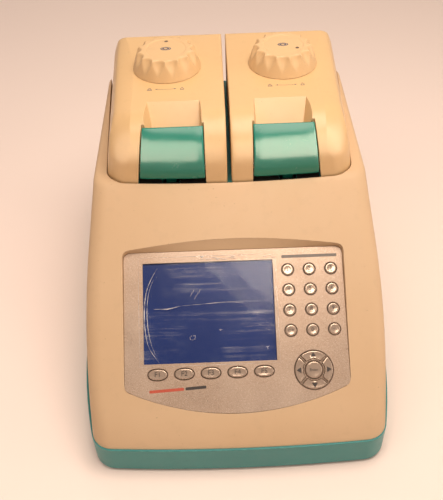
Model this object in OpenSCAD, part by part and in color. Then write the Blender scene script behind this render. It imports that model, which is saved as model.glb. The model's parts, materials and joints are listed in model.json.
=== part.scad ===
// Twin-block thermal cycler: a beige desk-top instrument with two separately hinged heated
// lids at the back, a sloping control panel at the front and a coloured tray base.
// Origin on the bench under the middle of the base, front towards -Y, +Z up, millimetres.

/* [Body] */
// Width over the base tray
body_w = 300; // [250:1:360]
// Depth over the base tray
body_d = 400; // [390:1:480]
// Height of the housing rim in front of the lids
rim_h = 190; // [180:1:230]
// Extra height of the rim at its rear end
rim_rise = 7; // [0:0.5:12]
// Height of the lid tops above the rim
lid_h = 55; // [50:1:70]
// Wall thickness of the moulded housing and lids
wall = 3; // [2:0.5:4]
// Radius between the sloping front and the flanks
edge_r = 12; // [8:1:16]
// How far the flanks lean in between base and rim
flank_lean = 20; // [8:1:30]

/* [Base] */
// Height of the tray side
tray_h = 30; // [20:1:45]
// Thickness of the tray floor
tray_floor = 3; // [2:0.5:5]
// Step from the tray edge in to the housing
ledge = 2; // [1:0.5:4]
// Radius of the plan corners
corner_r = 22; // [12:1:30]
// How much narrower each flank is at the very front
front_pinch = 22; // [0:1:30]
// Depth over which the flanks widen
pinch_d = 150; // [100:1:200]
// Height of the rubber feet
foot_h = 4; // [2:0.5:12]
// Radius of the rubber feet
foot_r = 9; // [6:0.5:14]

/* [Panel] */
// Distance of the panel's lower edge behind the front
nose_y = 23; // [16:1:40]
// Height of the panel's lower edge
nose_z = 57; // [48:1:70]
// Angle by which the panel sinks below the slope around it
panel_dip = 2.9; // [0:0.1:5]
// Width of the control panel
panel_w = 202; // [196:1:240]
// Length of the control panel up the slope
panel_l = 147.6; // [140:0.1:170]
// Rise of the panel's curved lower edge at its sides
panel_bow = 22.5; // [10:0.5:30]
// Thickness of the panel plate
panel_t = 2; // [1:0.5:3]
// Width of the display glass area
lcd_w = 120; // [100:1:130]
// Height of the display glass area
lcd_h = 92; // [80:1:96]

/* [Keys] */
// Radius of a number key
key_r = 5.2; // [4:0.1:6]
// Sideways pitch of the number keys
key_px = 19.8; // [14:0.1:20]
// Pitch of the number keys up the slope
key_py = 18.6; // [14:0.1:19]
// Width of a function key
fkey_w = 17; // [12:0.5:20]
// Height of a function key
fkey_h = 9.6; // [8:0.1:12]
// Pitch of the function keys
fkey_p = 23.9; // [21:0.1:26]
// Outer radius of the arrow keys
nav_r = 17; // [15:0.5:19]
// Inner radius of the arrow keys
nav_in = 9.8; // [9:0.1:11]
// Radius of the enter key
enter_r = 7.6; // [6:0.1:8]
// Width of the spokes between the arrow keys
nav_spoke = 2; // [1.5:0.1:3]
// Gap around each key
key_gap = 0.4; // [0.3:0.05:0.6]
// How far a key stands above the panel
key_up = 1; // [0.6:0.1:1.5]
// Travel of a key
key_travel = 0.6; // [0.4:0.1:0.8]

/* [Lids] */
// Distance of the lid fronts behind the base front
lid_setback = 188; // [180:1:200]
// Distance of the lid backs in front of the base rear
lid_rear_gap = 23; // [15:1:30]
// Width of the slit between the two lids
lid_slit = 4; // [3:0.5:8]
// Rim left beside each lid at its front
cheek_front = 35; // [28:1:40]
// Rim left beside each lid at its rear
cheek_rear = 25; // [20:1:30]
// Gap around the lids
lid_gap = 1.5; // [1:0.1:3]
// Radius of the roll at the lid fronts
roll_r = 40; // [30:1:46]
// Plan radius of the lids' outer front corners
lid_corner = 20; // [14:1:26]
// Height of the hinge axis above the lid's lower edge
hinge_up = 18; // [15:0.5:22]
// Distance of the hinge axis in front of the lid's rear face
hinge_in = 11; // [10:0.5:16]
// Radius of the hinge pins
pin_r = 3; // [2:0.5:4]
// Radial clearance of a turning pin
run_gap = 0.05; // [0.02:0.01:0.1]

/* [Handles] */
// Distance of the handle's straight side from the middle of the instrument
handle_x = 22.6; // [20:0.1:26]
// Width of the handle at its top edge
handle_w = 54.4; // [40:0.1:56]
// Extra width of the handle at its lower edge
handle_flare = 6.5; // [0:0.5:8]
// Thickness of the handle
handle_t = 4.5; // [3:0.5:6]
// How far the handle stands proud of the lid
handle_proud = 1.5; // [0:0.5:2.5]

/* [Knobs] */
// Radius of the knob at its foot
knob_r = 34; // [28:0.5:36]
// Radius of the knob at its top
knob_top_r = 28; // [22:0.5:30]
// Height of the knob
knob_h = 19; // [14:0.5:26]
// Number of finger flutes
flutes = 14; // [10:1:18]
// Distance of the knob axis in front of the lid's rear face
knob_back = 72; // [64:1:90]
// Distance of the knob and block axis from the middle
block_x = 57.4; // [54:0.1:62]
// Radius of the knob's spindle
spindle_r = 6; // [4:0.5:8]

/* [Blocks] */
// Wells across one block
well_nx = 6; // [4:1:6]
// Wells along one block
well_ny = 8; // [6:1:8]
// Pitch of the wells
well_pitch = 9; // [8.5:0.1:9.2]
// Mouth radius of a well
well_r = 3.1; // [2.5:0.1:3.5]
// Depth of a well
well_depth = 15; // [10:0.5:16]
// Height of a sample block
block_h = 20; // [18:0.5:24]

/* [Hidden] */

beige = [0.82, 0.71, 0.54];
teal = [0.10, 0.55, 0.47];
silver = [0.66, 0.62, 0.59];
metal = [0.72, 0.73, 0.75];
steel = [0.55, 0.56, 0.58];
board = [0.12, 0.38, 0.20];
black = [0.08, 0.08, 0.09];
far = 2 * body_d;

front_y = -body_d / 2;
rear_y = body_d / 2;
tray_top = foot_h + tray_h;
lid_front = front_y + lid_setback;
lid_rear = rear_y - lid_rear_gap;
deck_t = 4;
deck_top = rim_h - 5;
lid_low = deck_top + 2;
lid_top = rim_h + lid_h;
rim_w_front = body_w / 2 - flank_lean;
rim_w_rear = rim_w_front - 2;
lid_out_front = body_w / 2 - cheek_front;
lid_out_rear = body_w / 2 - cheek_rear;
lid_in = lid_slit / 2;
slope = atan((rim_h - nose_z) / (lid_setback - nose_y));
panel_slope = slope - panel_dip;
panel_up = panel_l - 57.3;
hinge_y = lid_rear - hinge_in;
hinge_z = lid_low + hinge_up;
knob_y = lid_rear - knob_back;
roll_y = lid_front + roll_r;
roll_z = lid_top - roll_r;
rear_shift = 15;

// panel places, measured from the middle of the display's height
lcd_x = -23.5;
lcd_y = 1;
pad_x = 70;
pad_y = 36.8;
fkey_x = -71.2;
fkey_y = -54.4;
nav_x = 68.9;
nav_y = -54.8;
key_low = -5;

block_w = well_nx * well_pitch + 6;
block_l = well_ny * well_pitch + 8;
block_top = deck_top + 4;
plate_t = 8;
plate_low = block_top + 8;
right_drop = 2;
peltier_t = 4;
sink_h = 50;
sink_top = block_top - block_h - peltier_t;
fan_t = 25;
fan_size = 80;
fan_top = sink_top - sink_h - 2;
aperture_w = block_w + 8;
aperture_l = block_l + 10;
bracket_t = 6;
knuckle_t = 10;
hinge_x = [20, lid_out_front - 25];
ear_r = 8;
arm_front = knob_y + aperture_l / 2 + 1;
handle_axis_y = lid_front + 12;
handle_axis_z = lid_low + 13;
handle_low = lid_low + 5;
handle_top_turn = 56;
stub_r = 2.5;
handle_out = handle_x + handle_w;
handle_bottom_out = handle_out + handle_flare;
slot_gap = 0.8;
ear_t = 3.5;
ear_in_x = handle_x - slot_gap - wall - 0.6 - ear_t;
ear_out_x = handle_bottom_out + slot_gap + wall + 0.6;
hook_x = 50;
hook_w = 10;
deck_slot_y = 6;
deck_slot_l = 18;
grip_back = 21;
grip_floor = 26;
grip_rear = 51;

board_z = foot_h + tray_floor + 8;
rear_open_w = 230;
rear_open_z = tray_top + 10;
rear_open_h = 62;
rear_plate_y = rear_y - 18;
inlet_x = -80;
inlet_z = rear_open_z + 31;
switch_x = -48;

// Half the width of the tray at a depth behind its front edge.
function half_w(d) =
    body_w / 2 - (d < pinch_d ? front_pinch * pow((pinch_d - d) / pinch_d, 2) : 0);

// Outline of the base seen from above, drawn in by an inset.
module plan(inset = 0) {
    right = [for (d = [0 : 15 : pinch_d]) [half_w(d), front_y + d + 5 * (d == 0 ? 1 : 0)]];
    left = [for (i = [len(right) - 1 : -1 : 0]) [-right[i][0], right[i][1]]];
    bow = [for (t = [-0.75 : 0.25 : 0.75])
        [t * half_w(0), front_y + 5 * t * t]];
    offset(delta = -inset)
        offset(r = corner_r, $fn = 64)
            offset(delta = -corner_r)
                polygon(concat(bow, right, [[body_w / 2, rear_y], [-body_w / 2, rear_y]], left));
}

// Solid form of the housing, drawn in by an inset on every side but the bottom.
module housing_form(inset = 0) {
    r = edge_r - inset;
    nose_w = half_w(nose_y) - ledge - 3 - edge_r;
    hull() {
        translate([0, 0, tray_top - inset / 3])
            linear_extrude(1)
                plan(ledge + inset);
        for (side = [-1, 1]) {
            translate([side * nose_w, front_y + nose_y + edge_r * sin(slope + 4),
                    nose_z - edge_r * cos(slope + 4)])
                sphere(r, $fn = 28);
            translate([side * (rim_w_front - edge_r),
                    lid_front + edge_r * tan(slope / 2), rim_h - edge_r])
                sphere(r, $fn = 28);
            translate([side * (rim_w_rear - edge_r), rear_y - rear_shift - edge_r,
                    rim_h + rim_rise - edge_r])
                sphere(r, $fn = 28);
        }
    }
}

// Moves its children on to the sloping panel: X across, Y up the slope, Z outwards.
module on_panel() {
    translate([0, front_y + nose_y, nose_z])
        rotate([panel_slope, 0, 0])
            translate([0, panel_up, 0])
                children();
}

// Outline of the control panel, grown by a margin.
module panel_outline(grow = 0) {
    arc_r = (panel_w * panel_w / 4 + panel_bow * panel_bow) / (2 * panel_bow);
    offset(r = 6 + grow, $fn = 48)
        offset(delta = -6)
            intersection() {
                translate([-panel_w / 2, -panel_up])
                    square([panel_w, panel_l]);
                translate([0, arc_r - panel_up])
                    circle(arc_r, $fn = 180);
            }
}

// Outline of the space that both lids lie in, grown by a margin and open at the rear.
module lids_outline(grow = 0, back = 0) {
    offset(delta = grow)
        hull() {
            for (side = [-1, 1]) {
                translate([side * (lid_out_front - lid_corner), lid_front + lid_corner])
                    circle(lid_corner, $fn = 64);
                translate([side * lid_out_rear - 0.5, lid_rear])
                    square(1);
                translate([side * lid_out_rear - 0.5, lid_rear + back])
                    square(1);
            }
        }
}

module base_tray() {
    color(teal)
        difference() {
            translate([0, 0, foot_h])
                linear_extrude(tray_h)
                    plan();
            translate([0, 0, foot_h + tray_floor])
                linear_extrude(tray_h)
                    plan(ledge + wall + 0.5);
            for (side = [-1, 1])
                for (i = [-4 : 4])
                    translate([side * block_x + i * 8 - 2, knob_y - 32, foot_h - 1])
                        cube([4, 64, tray_floor + 2]);
        }
}

module rubber_feet() {
    color(black)
        for (x = [-1, 1])
            for (y = [front_y + 45, rear_y - 35])
                translate([x * (body_w / 2 - 42), y, 0])
                    cylinder(r = foot_r, h = foot_h, $fn = 48);
}

module main_housing() {
    color(beige)
        difference() {
            housing_form();
            difference() {
                housing_form(wall);
                rear_frame();
                on_panel()
                    translate([0, 0, -panel_t - 5])
                        linear_extrude(20)
                            panel_outline(4);
                translate([0, 0, deck_top - deck_t - 5])
                    linear_extrude(60)
                        lids_outline(6, 60);
            }
            on_panel()
                translate([0, 0, -panel_t])
                    linear_extrude(40)
                        panel_outline(0.3);
            on_panel()
                translate([0, 0, -20])
                    linear_extrude(40)
                        panel_outline(-5);
            translate([0, 0, deck_top - deck_t])
                linear_extrude(60)
                    lids_outline(lid_gap, 60);
            translate([0, 0, tray_top + 40])
                linear_extrude(far)
                    intersection() {
                        lids_outline(-8);
                        square([far, 2 * (lid_rear - 8)], center = true);
                    }
            translate([-rear_open_w / 2, rear_y - 60, rear_open_z])
                cube([rear_open_w, 80, rear_open_h]);
            for (side = [-1, 1])
                for (i = [0 : 10])
                    translate([side * (body_w / 2 - 8) - 12, front_y + 62 + i * 7, tray_top + 6 + i])
                        cube([24, 2.6, 14]);
        }
}

// Thickening of the rear wall that the rear panel lies against.
module rear_frame() {
    translate([-rear_open_w / 2 - 6, rear_plate_y + 2, rear_open_z - 6])
        cube([rear_open_w + 12, 30, rear_open_h + 12]);
}

// Teal surround on which the lids close.
module deck_plate() {
    color(teal)
        translate([0, 0, deck_top - deck_t])
            difference() {
                linear_extrude(deck_t)
                    lids_outline(lid_gap - 0.4, 0);
                for (side = [-1, 1]) {
                    translate([side * block_x - block_w / 2 - 1.5, knob_y - block_l / 2 - 1.5, -1])
                        cube([block_w + 3, block_l + 3, deck_t + 2]);
                    translate([side * (hook_x + hook_w / 2) - hook_w / 2 - 3, lid_front + deck_slot_y, -1])
                        cube([hook_w + 6, deck_slot_l, deck_t + 2]);
                }
            }
}

// Places of the number keys, counted 0 to 11 along rows from the top left.
function pad_pos(i) = [pad_x + (i % 3 - 1) * key_px, pad_y - floor(i / 3) * key_py];

// Outline of one oval function key.
module fkey_outline(grow = 0) {
    hull()
        for (side = [-1, 1])
            translate([side * (fkey_w - fkey_h) / 2, 0])
                circle(fkey_h / 2 + grow, $fn = 32);
}

// Outline of the arrow key that lies at a turn from the right-hand one.
module arrow_outline(turn, grow = 0) {
    rotate(turn)
        difference() {
            circle(nav_r + grow, $fn = 64);
            circle(nav_in - grow, $fn = 64);
            for (side = [-1, 1])
                rotate(side * 45)
                    translate([-far, -nav_spoke / 2 + grow - (side > 0 ? 0 : far)])
                        square([2 * far, nav_spoke - 2 * grow + far]);
        }
}

module control_panel() {
    color(silver)
        on_panel()
            translate([0, 0, -panel_t])
                difference() {
                    linear_extrude(panel_t)
                        panel_outline();
                    translate([lcd_x - lcd_w / 2, lcd_y - lcd_h / 2, -1])
                        cube([lcd_w, lcd_h, panel_t + 2]);
                    for (i = [0 : 11])
                        translate([pad_pos(i)[0], pad_pos(i)[1], -1])
                            cylinder(r = key_r + key_gap, h = panel_t + 2, $fn = 48);
                    for (i = [0 : 4])
                        translate([fkey_x + i * fkey_p, fkey_y, -1])
                            linear_extrude(panel_t + 2)
                                fkey_outline(key_gap);
                    translate([nav_x, nav_y, -1]) {
                        cylinder(r = enter_r + key_gap, h = panel_t + 2, $fn = 48);
                        for (turn = [0 : 90 : 270])
                            linear_extrude(panel_t + 2)
                                arrow_outline(turn, key_gap);
                    }
                }
}

// Clear protective sheet lying in the display opening.
module display_window() {
    color([0.75, 0.82, 0.88, 0.5])
        on_panel()
            translate([lcd_x - lcd_w / 2, lcd_y - lcd_h / 2, -panel_t])
                cube([lcd_w, lcd_h, panel_t - 0.3]);
}

module display_module() {
    color([0.08, 0.16, 0.45])
        on_panel()
            translate([lcd_x - lcd_w / 2 - 5, lcd_y - lcd_h / 2 - 2.5, -panel_t - 8])
                cube([lcd_w + 10, lcd_h + 6, 8]);
}

module keypad_board() {
    color(board)
        on_panel() {
            translate([-80, -74, key_low - key_travel - 4])
                cube([160, 24, 1.6]);
            translate([lcd_x + lcd_w / 2 + 8, -50, key_low - key_travel - 4])
                cube([50, pad_y + 62, 1.6]);
            for (i = [0 : 11])
                translate([pad_pos(i)[0], pad_pos(i)[1], key_low - key_travel - 2.41])
                    cylinder(r = 3, h = 1.8, $fn = 24);
            for (i = [0 : 4])
                translate([fkey_x + i * fkey_p, fkey_y, key_low - key_travel - 2.41])
                    cylinder(r = 3, h = 1.8, $fn = 24);
            for (turn = [0 : 90 : 270])
                translate([nav_x + 13 * cos(turn), nav_y + 13 * sin(turn), key_low - key_travel - 2.41])
                    cylinder(r = 2, h = 1.8, $fn = 24);
            translate([nav_x, nav_y, key_low - key_travel - 2.41])
                cylinder(r = 3, h = 1.8, $fn = 24);
        }
}

// One key: a tall stem of its outline, domed at the top edge by a smaller step.
module key_stem() {
    translate([0, 0, key_low])
        linear_extrude(key_up - key_low - 0.4)
            children();
    translate([0, 0, key_up - 0.4])
        linear_extrude(0.4)
            offset(delta = -0.5)
                children();
}

module number_key(i) {
    color(silver)
        on_panel()
            translate([pad_pos(i)[0], pad_pos(i)[1], 0])
                key_stem()
                    circle(key_r, $fn = 48);
}

module function_key(i) {
    color(silver)
        on_panel()
            translate([fkey_x + i * fkey_p, fkey_y, 0])
                key_stem()
                    fkey_outline();
}

module arrow_key(turn) {
    color(silver)
        on_panel()
            translate([nav_x, nav_y, 0])
                key_stem()
                    arrow_outline(turn);
}

module enter_key() {
    color(silver)
        on_panel()
            translate([nav_x, nav_y, 0])
                key_stem()
                    circle(enter_r, $fn = 48);
}

module main_board() {
    color(board)
        translate([-body_w / 2 + 45, front_y + 35, board_z])
            cube([body_w - 90, 140, 1.6]);
    color(black)
        for (i = [0 : 3])
            translate([-80 + i * 42, front_y + 60 + (i % 2) * 45, board_z + 1.6])
                cube([24, 24, 3]);
    color(metal)
        for (x = [-1, 1])
            for (y = [front_y + 42, front_y + 168])
                translate([x * (body_w / 2 - 52), y, foot_h + tray_floor])
                    cylinder(r = 3, h = board_z - foot_h - tray_floor, $fn = 24);
}

module power_supply() {
    color(metal)
        translate([-90, knob_y - 50, foot_h + tray_floor + 4])
            difference() {
                cube([180, 104, 44]);
                translate([1.5, 1.5, 1.5])
                    cube([177, 101, 44]);
            }
    color(black)
        for (i = [0 : 4])
            translate([-66 + i * 33, knob_y, foot_h + tray_floor + 5.5])
                cylinder(r = 11, h = 32, $fn = 32);
    color(steel)
        for (x = [-80, 80])
            translate([x, knob_y, foot_h + tray_floor])
                cylinder(r = 4, h = 4, $fn = 24);
}

module heatsinks() {
    color(metal)
        for (side = [-1, 1])
            translate([side * block_x - 43, knob_y - 48, sink_top - sink_h]) {
                translate([0, 0, sink_h - 8])
                    cube([86, 96, 8]);
                for (i = [0 : 11])
                    translate([i * 7.6, 0, 0])
                        cube([2, 96, sink_h - 8]);
            }
}

module fan_frames() {
    color(black)
        for (side = [-1, 1])
            translate([side * block_x, knob_y, fan_top - fan_t]) {
                difference() {
                    translate([-fan_size / 2, -fan_size / 2, 0])
                        cube([fan_size, fan_size, fan_t]);
                    translate([0, 0, -1])
                        cylinder(r = 38, h = fan_t + 2, $fn = 96);
                }
                difference() {
                    union() {
                        cylinder(r = 15, h = 3, $fn = 48);
                        for (turn = [45 : 90 : 315])
                            rotate(turn)
                                translate([10, -2, 0])
                                    cube([31, 4, 3]);
                    }
                    translate([0, 0, -1])
                        cylinder(r = 1.5, h = 5, $fn = 24);
                }
                cylinder(r = 2, h = fan_t - 6, $fn = 32);
            }
}

// Spinning hub and blades of one cooling fan.
module fan_rotor(side) {
    color([0.15, 0.15, 0.16])
        translate([side * block_x, knob_y, fan_top - fan_t + 4])
            difference() {
                union() {
                    cylinder(r = 15, h = fan_t - 8, $fn = 48);
                    for (turn = [0 : 360 / 7 : 359])
                        rotate(turn)
                            translate([13, 0, (fan_t - 8) / 2])
                                rotate([35, 0, 0])
                                    translate([0, -0.75, -8])
                                        cube([23, 1.5, 16]);
                }
                translate([0, 0, -1])
                    cylinder(r = 2 + run_gap, h = fan_t, $fn = 32);
            }
}

module rear_panel() {
    color(metal)
        for (side = [-1, 1])
            translate([switch_x + side * 6.5 - 0.6, rear_plate_y - 6, inlet_z - 4])
                difference() {
                    cube([1.2, 6, 8]);
                    translate([-1, 4, 4])
                        rotate([0, 90, 0])
                            cylinder(r = 1.5 + run_gap, h = 4, $fn = 24);
                }
    color(metal)
        difference() {
            translate([-rear_open_w / 2 - 5, rear_plate_y, rear_open_z - 4])
                cube([rear_open_w + 10, 2, rear_open_h + 8]);
            translate([inlet_x - 14.2, rear_plate_y - 1, inlet_z - 11.2])
                cube([28.4, 4, 22.4]);
            translate([switch_x - 7.2, rear_plate_y - 1, inlet_z - 11.2])
                cube([14.4, 4, 22.4]);
            for (i = [0 : 7])
                for (j = [0 : 2])
                    translate([-14 + i * 8, rear_plate_y - 1, rear_open_z + 12 + j * 14])
                        cube([5, 4, 10]);
        }
}

module power_inlet() {
    color(black) {
        difference() {
            union() {
                translate([inlet_x - 14, rear_plate_y - 14, inlet_z - 11])
                    cube([28, 16, 22]);
                translate([inlet_x - 16, rear_plate_y + 2, inlet_z - 13])
                    cube([32, 2, 26]);
            }
            translate([inlet_x - 12, rear_plate_y - 11, inlet_z - 8.5])
                cube([24, 16, 17]);
        }
        for (x = [-7, 0, 7])
            translate([inlet_x + x - 1, rear_plate_y - 11, inlet_z - 2 + (x == 0 ? 3 : -2)])
                cube([2, 6, 4]);
    }
}

// Rocker of the mains switch, tipped to its off side.
module power_switch() {
    color(black)
        translate([switch_x, rear_plate_y - 2, inlet_z])
            rotate([10, 0, 0])
                difference() {
                    translate([-5.5, -4, -9])
                        cube([11, 9, 18]);
                    translate([-7, 15.5, 0])
                        rotate([0, 90, 0])
                            cylinder(r = 12, h = 14, $fn = 64);
                }
    color(black)
        translate([switch_x - 7, rear_plate_y - 2, inlet_z])
            rotate([0, 90, 0])
                cylinder(r = 1.5, h = 14, $fn = 24);
}

module data_ports() {
    color(steel)
        for (i = [0 : 1])
            translate([58 + i * 28, rear_plate_y + 2, inlet_z - 8])
                difference() {
                    cube([18, 9, 16]);
                    translate([2.5, 1, 2.5])
                        cube([13, 9, 11]);
                }
}

// Sample block with its grid of tapered wells.
module sample_block(side) {
    color(metal)
        translate([side * block_x, knob_y, block_top - block_h])
            difference() {
                translate([-block_w / 2, -block_l / 2, 0])
                    cube([block_w, block_l, block_h]);
                for (i = [0 : well_nx - 1])
                    for (j = [0 : well_ny - 1])
                        translate([(i - (well_nx - 1) / 2) * well_pitch,
                                (j - (well_ny - 1) / 2) * well_pitch, block_h - well_depth])
                            cylinder(r1 = well_r - 1.6, r2 = well_r, h = well_depth + 0.01, $fn = 24);
            }
}

module peltier_modules() {
    color([0.9, 0.9, 0.88])
        for (side = [-1, 1])
            for (j = [-1, 1])
                translate([side * block_x - 20, knob_y + j * 21 - 20, sink_top])
                    cube([40, 40, peltier_t]);
}

// Foam seal round each block, under the deck.
module block_gaskets() {
    color(black)
        for (side = [-1, 1])
            translate([side * block_x, knob_y, deck_top - deck_t - 5])
                difference() {
                    translate([-block_w / 2 - 5, -block_l / 2 - 5, 0])
                        cube([block_w + 10, block_l + 10, 5]);
                    translate([-block_w / 2, -block_l / 2, -1])
                        cube([block_w, block_l, 7]);
                }
}

// Upright ears that carry the lid hinges.
module hinge_brackets() {
    color(steel)
        for (side = [-1, 1])
            for (x = hinge_x)
                translate([side * (x + bracket_t / 2) - bracket_t / 2, hinge_y, deck_top])
                    difference() {
                        union() {
                            translate([0, -ear_r, 0])
                                cube([bracket_t, 2 * ear_r, hinge_z - deck_top]);
                            translate([0, 0, hinge_z - deck_top])
                                rotate([0, 90, 0])
                                    cylinder(r = ear_r, h = bracket_t, $fn = 48);
                        }
                        translate([-1, 0, hinge_z - deck_top])
                            rotate([0, 90, 0])
                                cylinder(r = pin_r, h = bracket_t + 2, $fn = 48);
                    }
}

module hinge_pins() {
    color(metal)
        for (side = [-1, 1])
            for (x = hinge_x)
                translate([side * (x + bracket_t / 2) - (bracket_t + 2 * knuckle_t + 2) / 2, hinge_y,
                        hinge_z])
                    rotate([0, 90, 0])
                        cylinder(r = pin_r, h = bracket_t + 2 * knuckle_t + 2, $fn = 48);
}

module housing_screws() {
    color(steel)
        for (x = [-1, 1])
            for (y = [front_y + 80, rear_y - 70])
                translate([x * (body_w / 2 - 42), y, foot_h - 1.5]) {
                    cylinder(r = 4, h = 1.5, $fn = 24);
                }
}

module latch_catches() {
    color(steel)
        for (side = [-1, 1])
            translate([side * (hook_x + hook_w / 2) - hook_w / 2 - 2,
                    lid_front + deck_slot_y + deck_slot_l, deck_top - deck_t - 8])
                cube([hook_w + 4, 3, 8]);
}

// Outline of the right-hand lid seen from above.
module lid_plan(inset = 0) {
    offset(delta = -inset)
        hull() {
            translate([lid_in, lid_front])
                square([1, lid_rear - lid_front]);
            translate([lid_out_front - lid_corner, lid_front + lid_corner])
                circle(lid_corner, $fn = 64);
            translate([lid_out_rear - 1, lid_rear - 1])
                square(1);
        }
}

// Solid form of the right-hand lid, drawn in by an inset on all sides but the bottom.
module lid_form(inset = 0) {
    roll_out = lid_out_front - 26;
    corner = 24;
    rear_edge = 8;
    intersection() {
        hull() {
            translate([0, 0, lid_low])
                linear_extrude(1)
                    lid_plan(inset);
            translate([lid_in + inset, roll_y, roll_z])
                rotate([0, 90, 0])
                    cylinder(r = roll_r - inset, h = roll_out - lid_in - inset, $fn = 72);
            translate([roll_out, lid_front + 4 + corner, lid_top - corner])
                sphere(corner - inset, $fn = 32);
            translate([lid_out_rear - 14 - rear_edge, lid_rear - rear_edge, lid_top - rear_edge])
                sphere(rear_edge - inset, $fn = 28);
            translate([lid_in + inset, lid_rear - rear_edge, lid_top - rear_edge])
                rotate([0, 90, 0])
                    cylinder(r = rear_edge - inset, h = lid_out_rear / 2, $fn = 28);
        }
        translate([0, -far, lid_low])
            cube([far, 2 * far, far]);
    }
}

// Side shape of the space that the handle swings in and of the finger recess behind it.
module grip_profile(grow = 0) {
    polygon([
        [lid_front - 20, lid_low - 9],
        [lid_front + grip_back + grow, lid_low - 9],
        [lid_front + grip_back + grow, lid_top - 30 - grow],
        [lid_front + grip_floor + grow, lid_top - 23 - grow],
        [lid_front + grip_rear + grow, lid_top - grow],
        [lid_front + grip_rear + grow, lid_top + 20],
        [lid_front - 20, lid_top + 20]]);
}

// The same space as a solid across the handle's width.
module grip_space(grow = 0) {
    rotate([90, 0, 90])
        translate([0, 0, handle_x - slot_gap - grow])
            linear_extrude(handle_w + handle_flare + 2 * slot_gap + 2 * grow)
                intersection() {
                    grip_profile(grow);
                    translate([lid_front - 40, 0])
                        square([40 + grip_back + grow, far]);
                }
    rotate([90, 0, 90])
        translate([0, 0, handle_x + 2 - grow])
            linear_extrude(handle_w - 4 + 2 * grow)
                grip_profile(grow);
}

module lid_shell() {
    color(beige)
        difference() {
            lid_form();
            difference() {
                translate([0, 0, -1])
                    lid_form(wall);
                grip_space(wall);
                translate([block_x, knob_y, lid_top - wall - 9])
                    cylinder(r = spindle_r + 4, h = 10, $fn = 48);
            }
            grip_space();
            translate([0, handle_axis_y, handle_axis_z])
                rotate([0, 90, 0])
                    cylinder(r = stub_r + 0.5, h = ear_out_x, $fn = 48);
            translate([block_x, knob_y, lid_top - 30])
                cylinder(r = spindle_r + run_gap, h = 60, $fn = 48);
            rear_cut();
            for (x = hinge_x)
                translate([x - 1, lid_rear - wall - 2, lid_low - 1])
                    cube([bracket_t + 2, wall + 4, hinge_up + ear_r + 3]);
        }
}

// Clears the corner below and behind the hinge axis so that the lid can tip back.
module rear_cut() {
    difference() {
        translate([-1, hinge_y, lid_low - 20])
            cube([far, 60, 20 + hinge_up - 1]);
        translate([-2, hinge_y, hinge_z])
            rotate([0, 90, 0])
                cylinder(r = hinge_up - 0.2, h = far + 2, $fn = 96);
    }
}

// Metal frame inside a lid: floor plate, hinge knuckles and handle bearings.
module lid_frame() {
    color(metal)
        difference() {
            union() {
                difference() {
                    translate([0, 0, lid_low])
                        linear_extrude(2.5)
                            lid_plan(wall + 0.6);
                    translate([block_x - aperture_w / 2, knob_y - aperture_l / 2, lid_low - 1])
                        cube([aperture_w, aperture_l, 5]);
                    translate([handle_x - slot_gap - ear_t - 1, lid_front - 1, lid_low - 1])
                        cube([handle_w + handle_flare + 2 * (slot_gap + ear_t + 1), 25, 5]);
                    translate([0, hinge_y - ear_r - 1, lid_low - 1])
                        cube([far, 60, 5]);
                }
                for (x = hinge_x)
                    for (k = [-knuckle_t - 0.5, bracket_t + 0.5])
                        translate([x + k, hinge_y, hinge_z])
                            rotate([0, 90, 0])
                                cylinder(r = ear_r, h = knuckle_t, $fn = 48);
                for (x = hinge_x)
                    for (k = [-knuckle_t - 0.5, bracket_t + 0.5])
                        translate([x + k, arm_front, lid_low])
                            cube([knuckle_t, hinge_y - arm_front, hinge_up - 5]);
                for (x = [ear_in_x, ear_out_x])
                    translate([x, handle_axis_y - 5, lid_low])
                        cube([ear_t, 34, 19]);
            }
            for (x = hinge_x)
                translate([x - knuckle_t - 2, hinge_y, hinge_z])
                    rotate([0, 90, 0])
                        cylinder(r = pin_r + run_gap, h = bracket_t + 2 * knuckle_t + 4, $fn = 48);
            translate([0, handle_axis_y, handle_axis_z])
                rotate([0, 90, 0])
                    cylinder(r = stub_r + run_gap, h = lid_out_front, $fn = 48);
            rear_cut();
        }
}

// Curved lever at the front of a lid, with its stub shafts and hook.
module lid_handle() {
    out_r = roll_r + handle_proud;
    color(teal) {
        intersection() {
            translate([0, roll_y, roll_z])
                rotate([0, 90, 0])
                    difference() {
                        cylinder(r = out_r, h = far, $fn = 128);
                        translate([0, 0, -1])
                            cylinder(r = out_r - handle_t, h = far + 2, $fn = 128);
                    }
            translate([0, 0, handle_low])
                rotate([90, 0, 90])
                    linear_extrude(far)
                        polygon([[lid_front - 10, 0], [roll_y, 0], [roll_y, roll_z - handle_low],
                            [roll_y - 2 * roll_r * cos(handle_top_turn),
                             roll_z - handle_low + 2 * roll_r * sin(handle_top_turn)],
                            [lid_front - 10, 2 * roll_r]]);
            translate([0, lid_front + 30, 0])
                rotate([90, 0, 0])
                    linear_extrude(60)
                        polygon([[handle_x, handle_low], [handle_bottom_out, handle_low],
                            [handle_out, lid_top], [handle_x, lid_top]]);
        }
        for (x = [handle_x + 1, handle_out - 6])
            translate([x, lid_front + 2.5, handle_axis_z - 4])
                cube([5, 13, 8]);
        translate([hook_x, lid_front + 2.5, handle_axis_z - 4])
            cube([hook_w, 13, 8]);
        translate([hook_x, handle_axis_y - 2, deck_top - deck_t - 4])
            cube([hook_w, 4, handle_axis_z - deck_top + deck_t + 4]);
    }
    color(metal)
        translate([ear_in_x + 0.3, handle_axis_y, handle_axis_z])
            rotate([0, 90, 0])
                cylinder(r = stub_r, h = ear_out_x + ear_t - ear_in_x - 0.6, $fn = 48);
}

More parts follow.
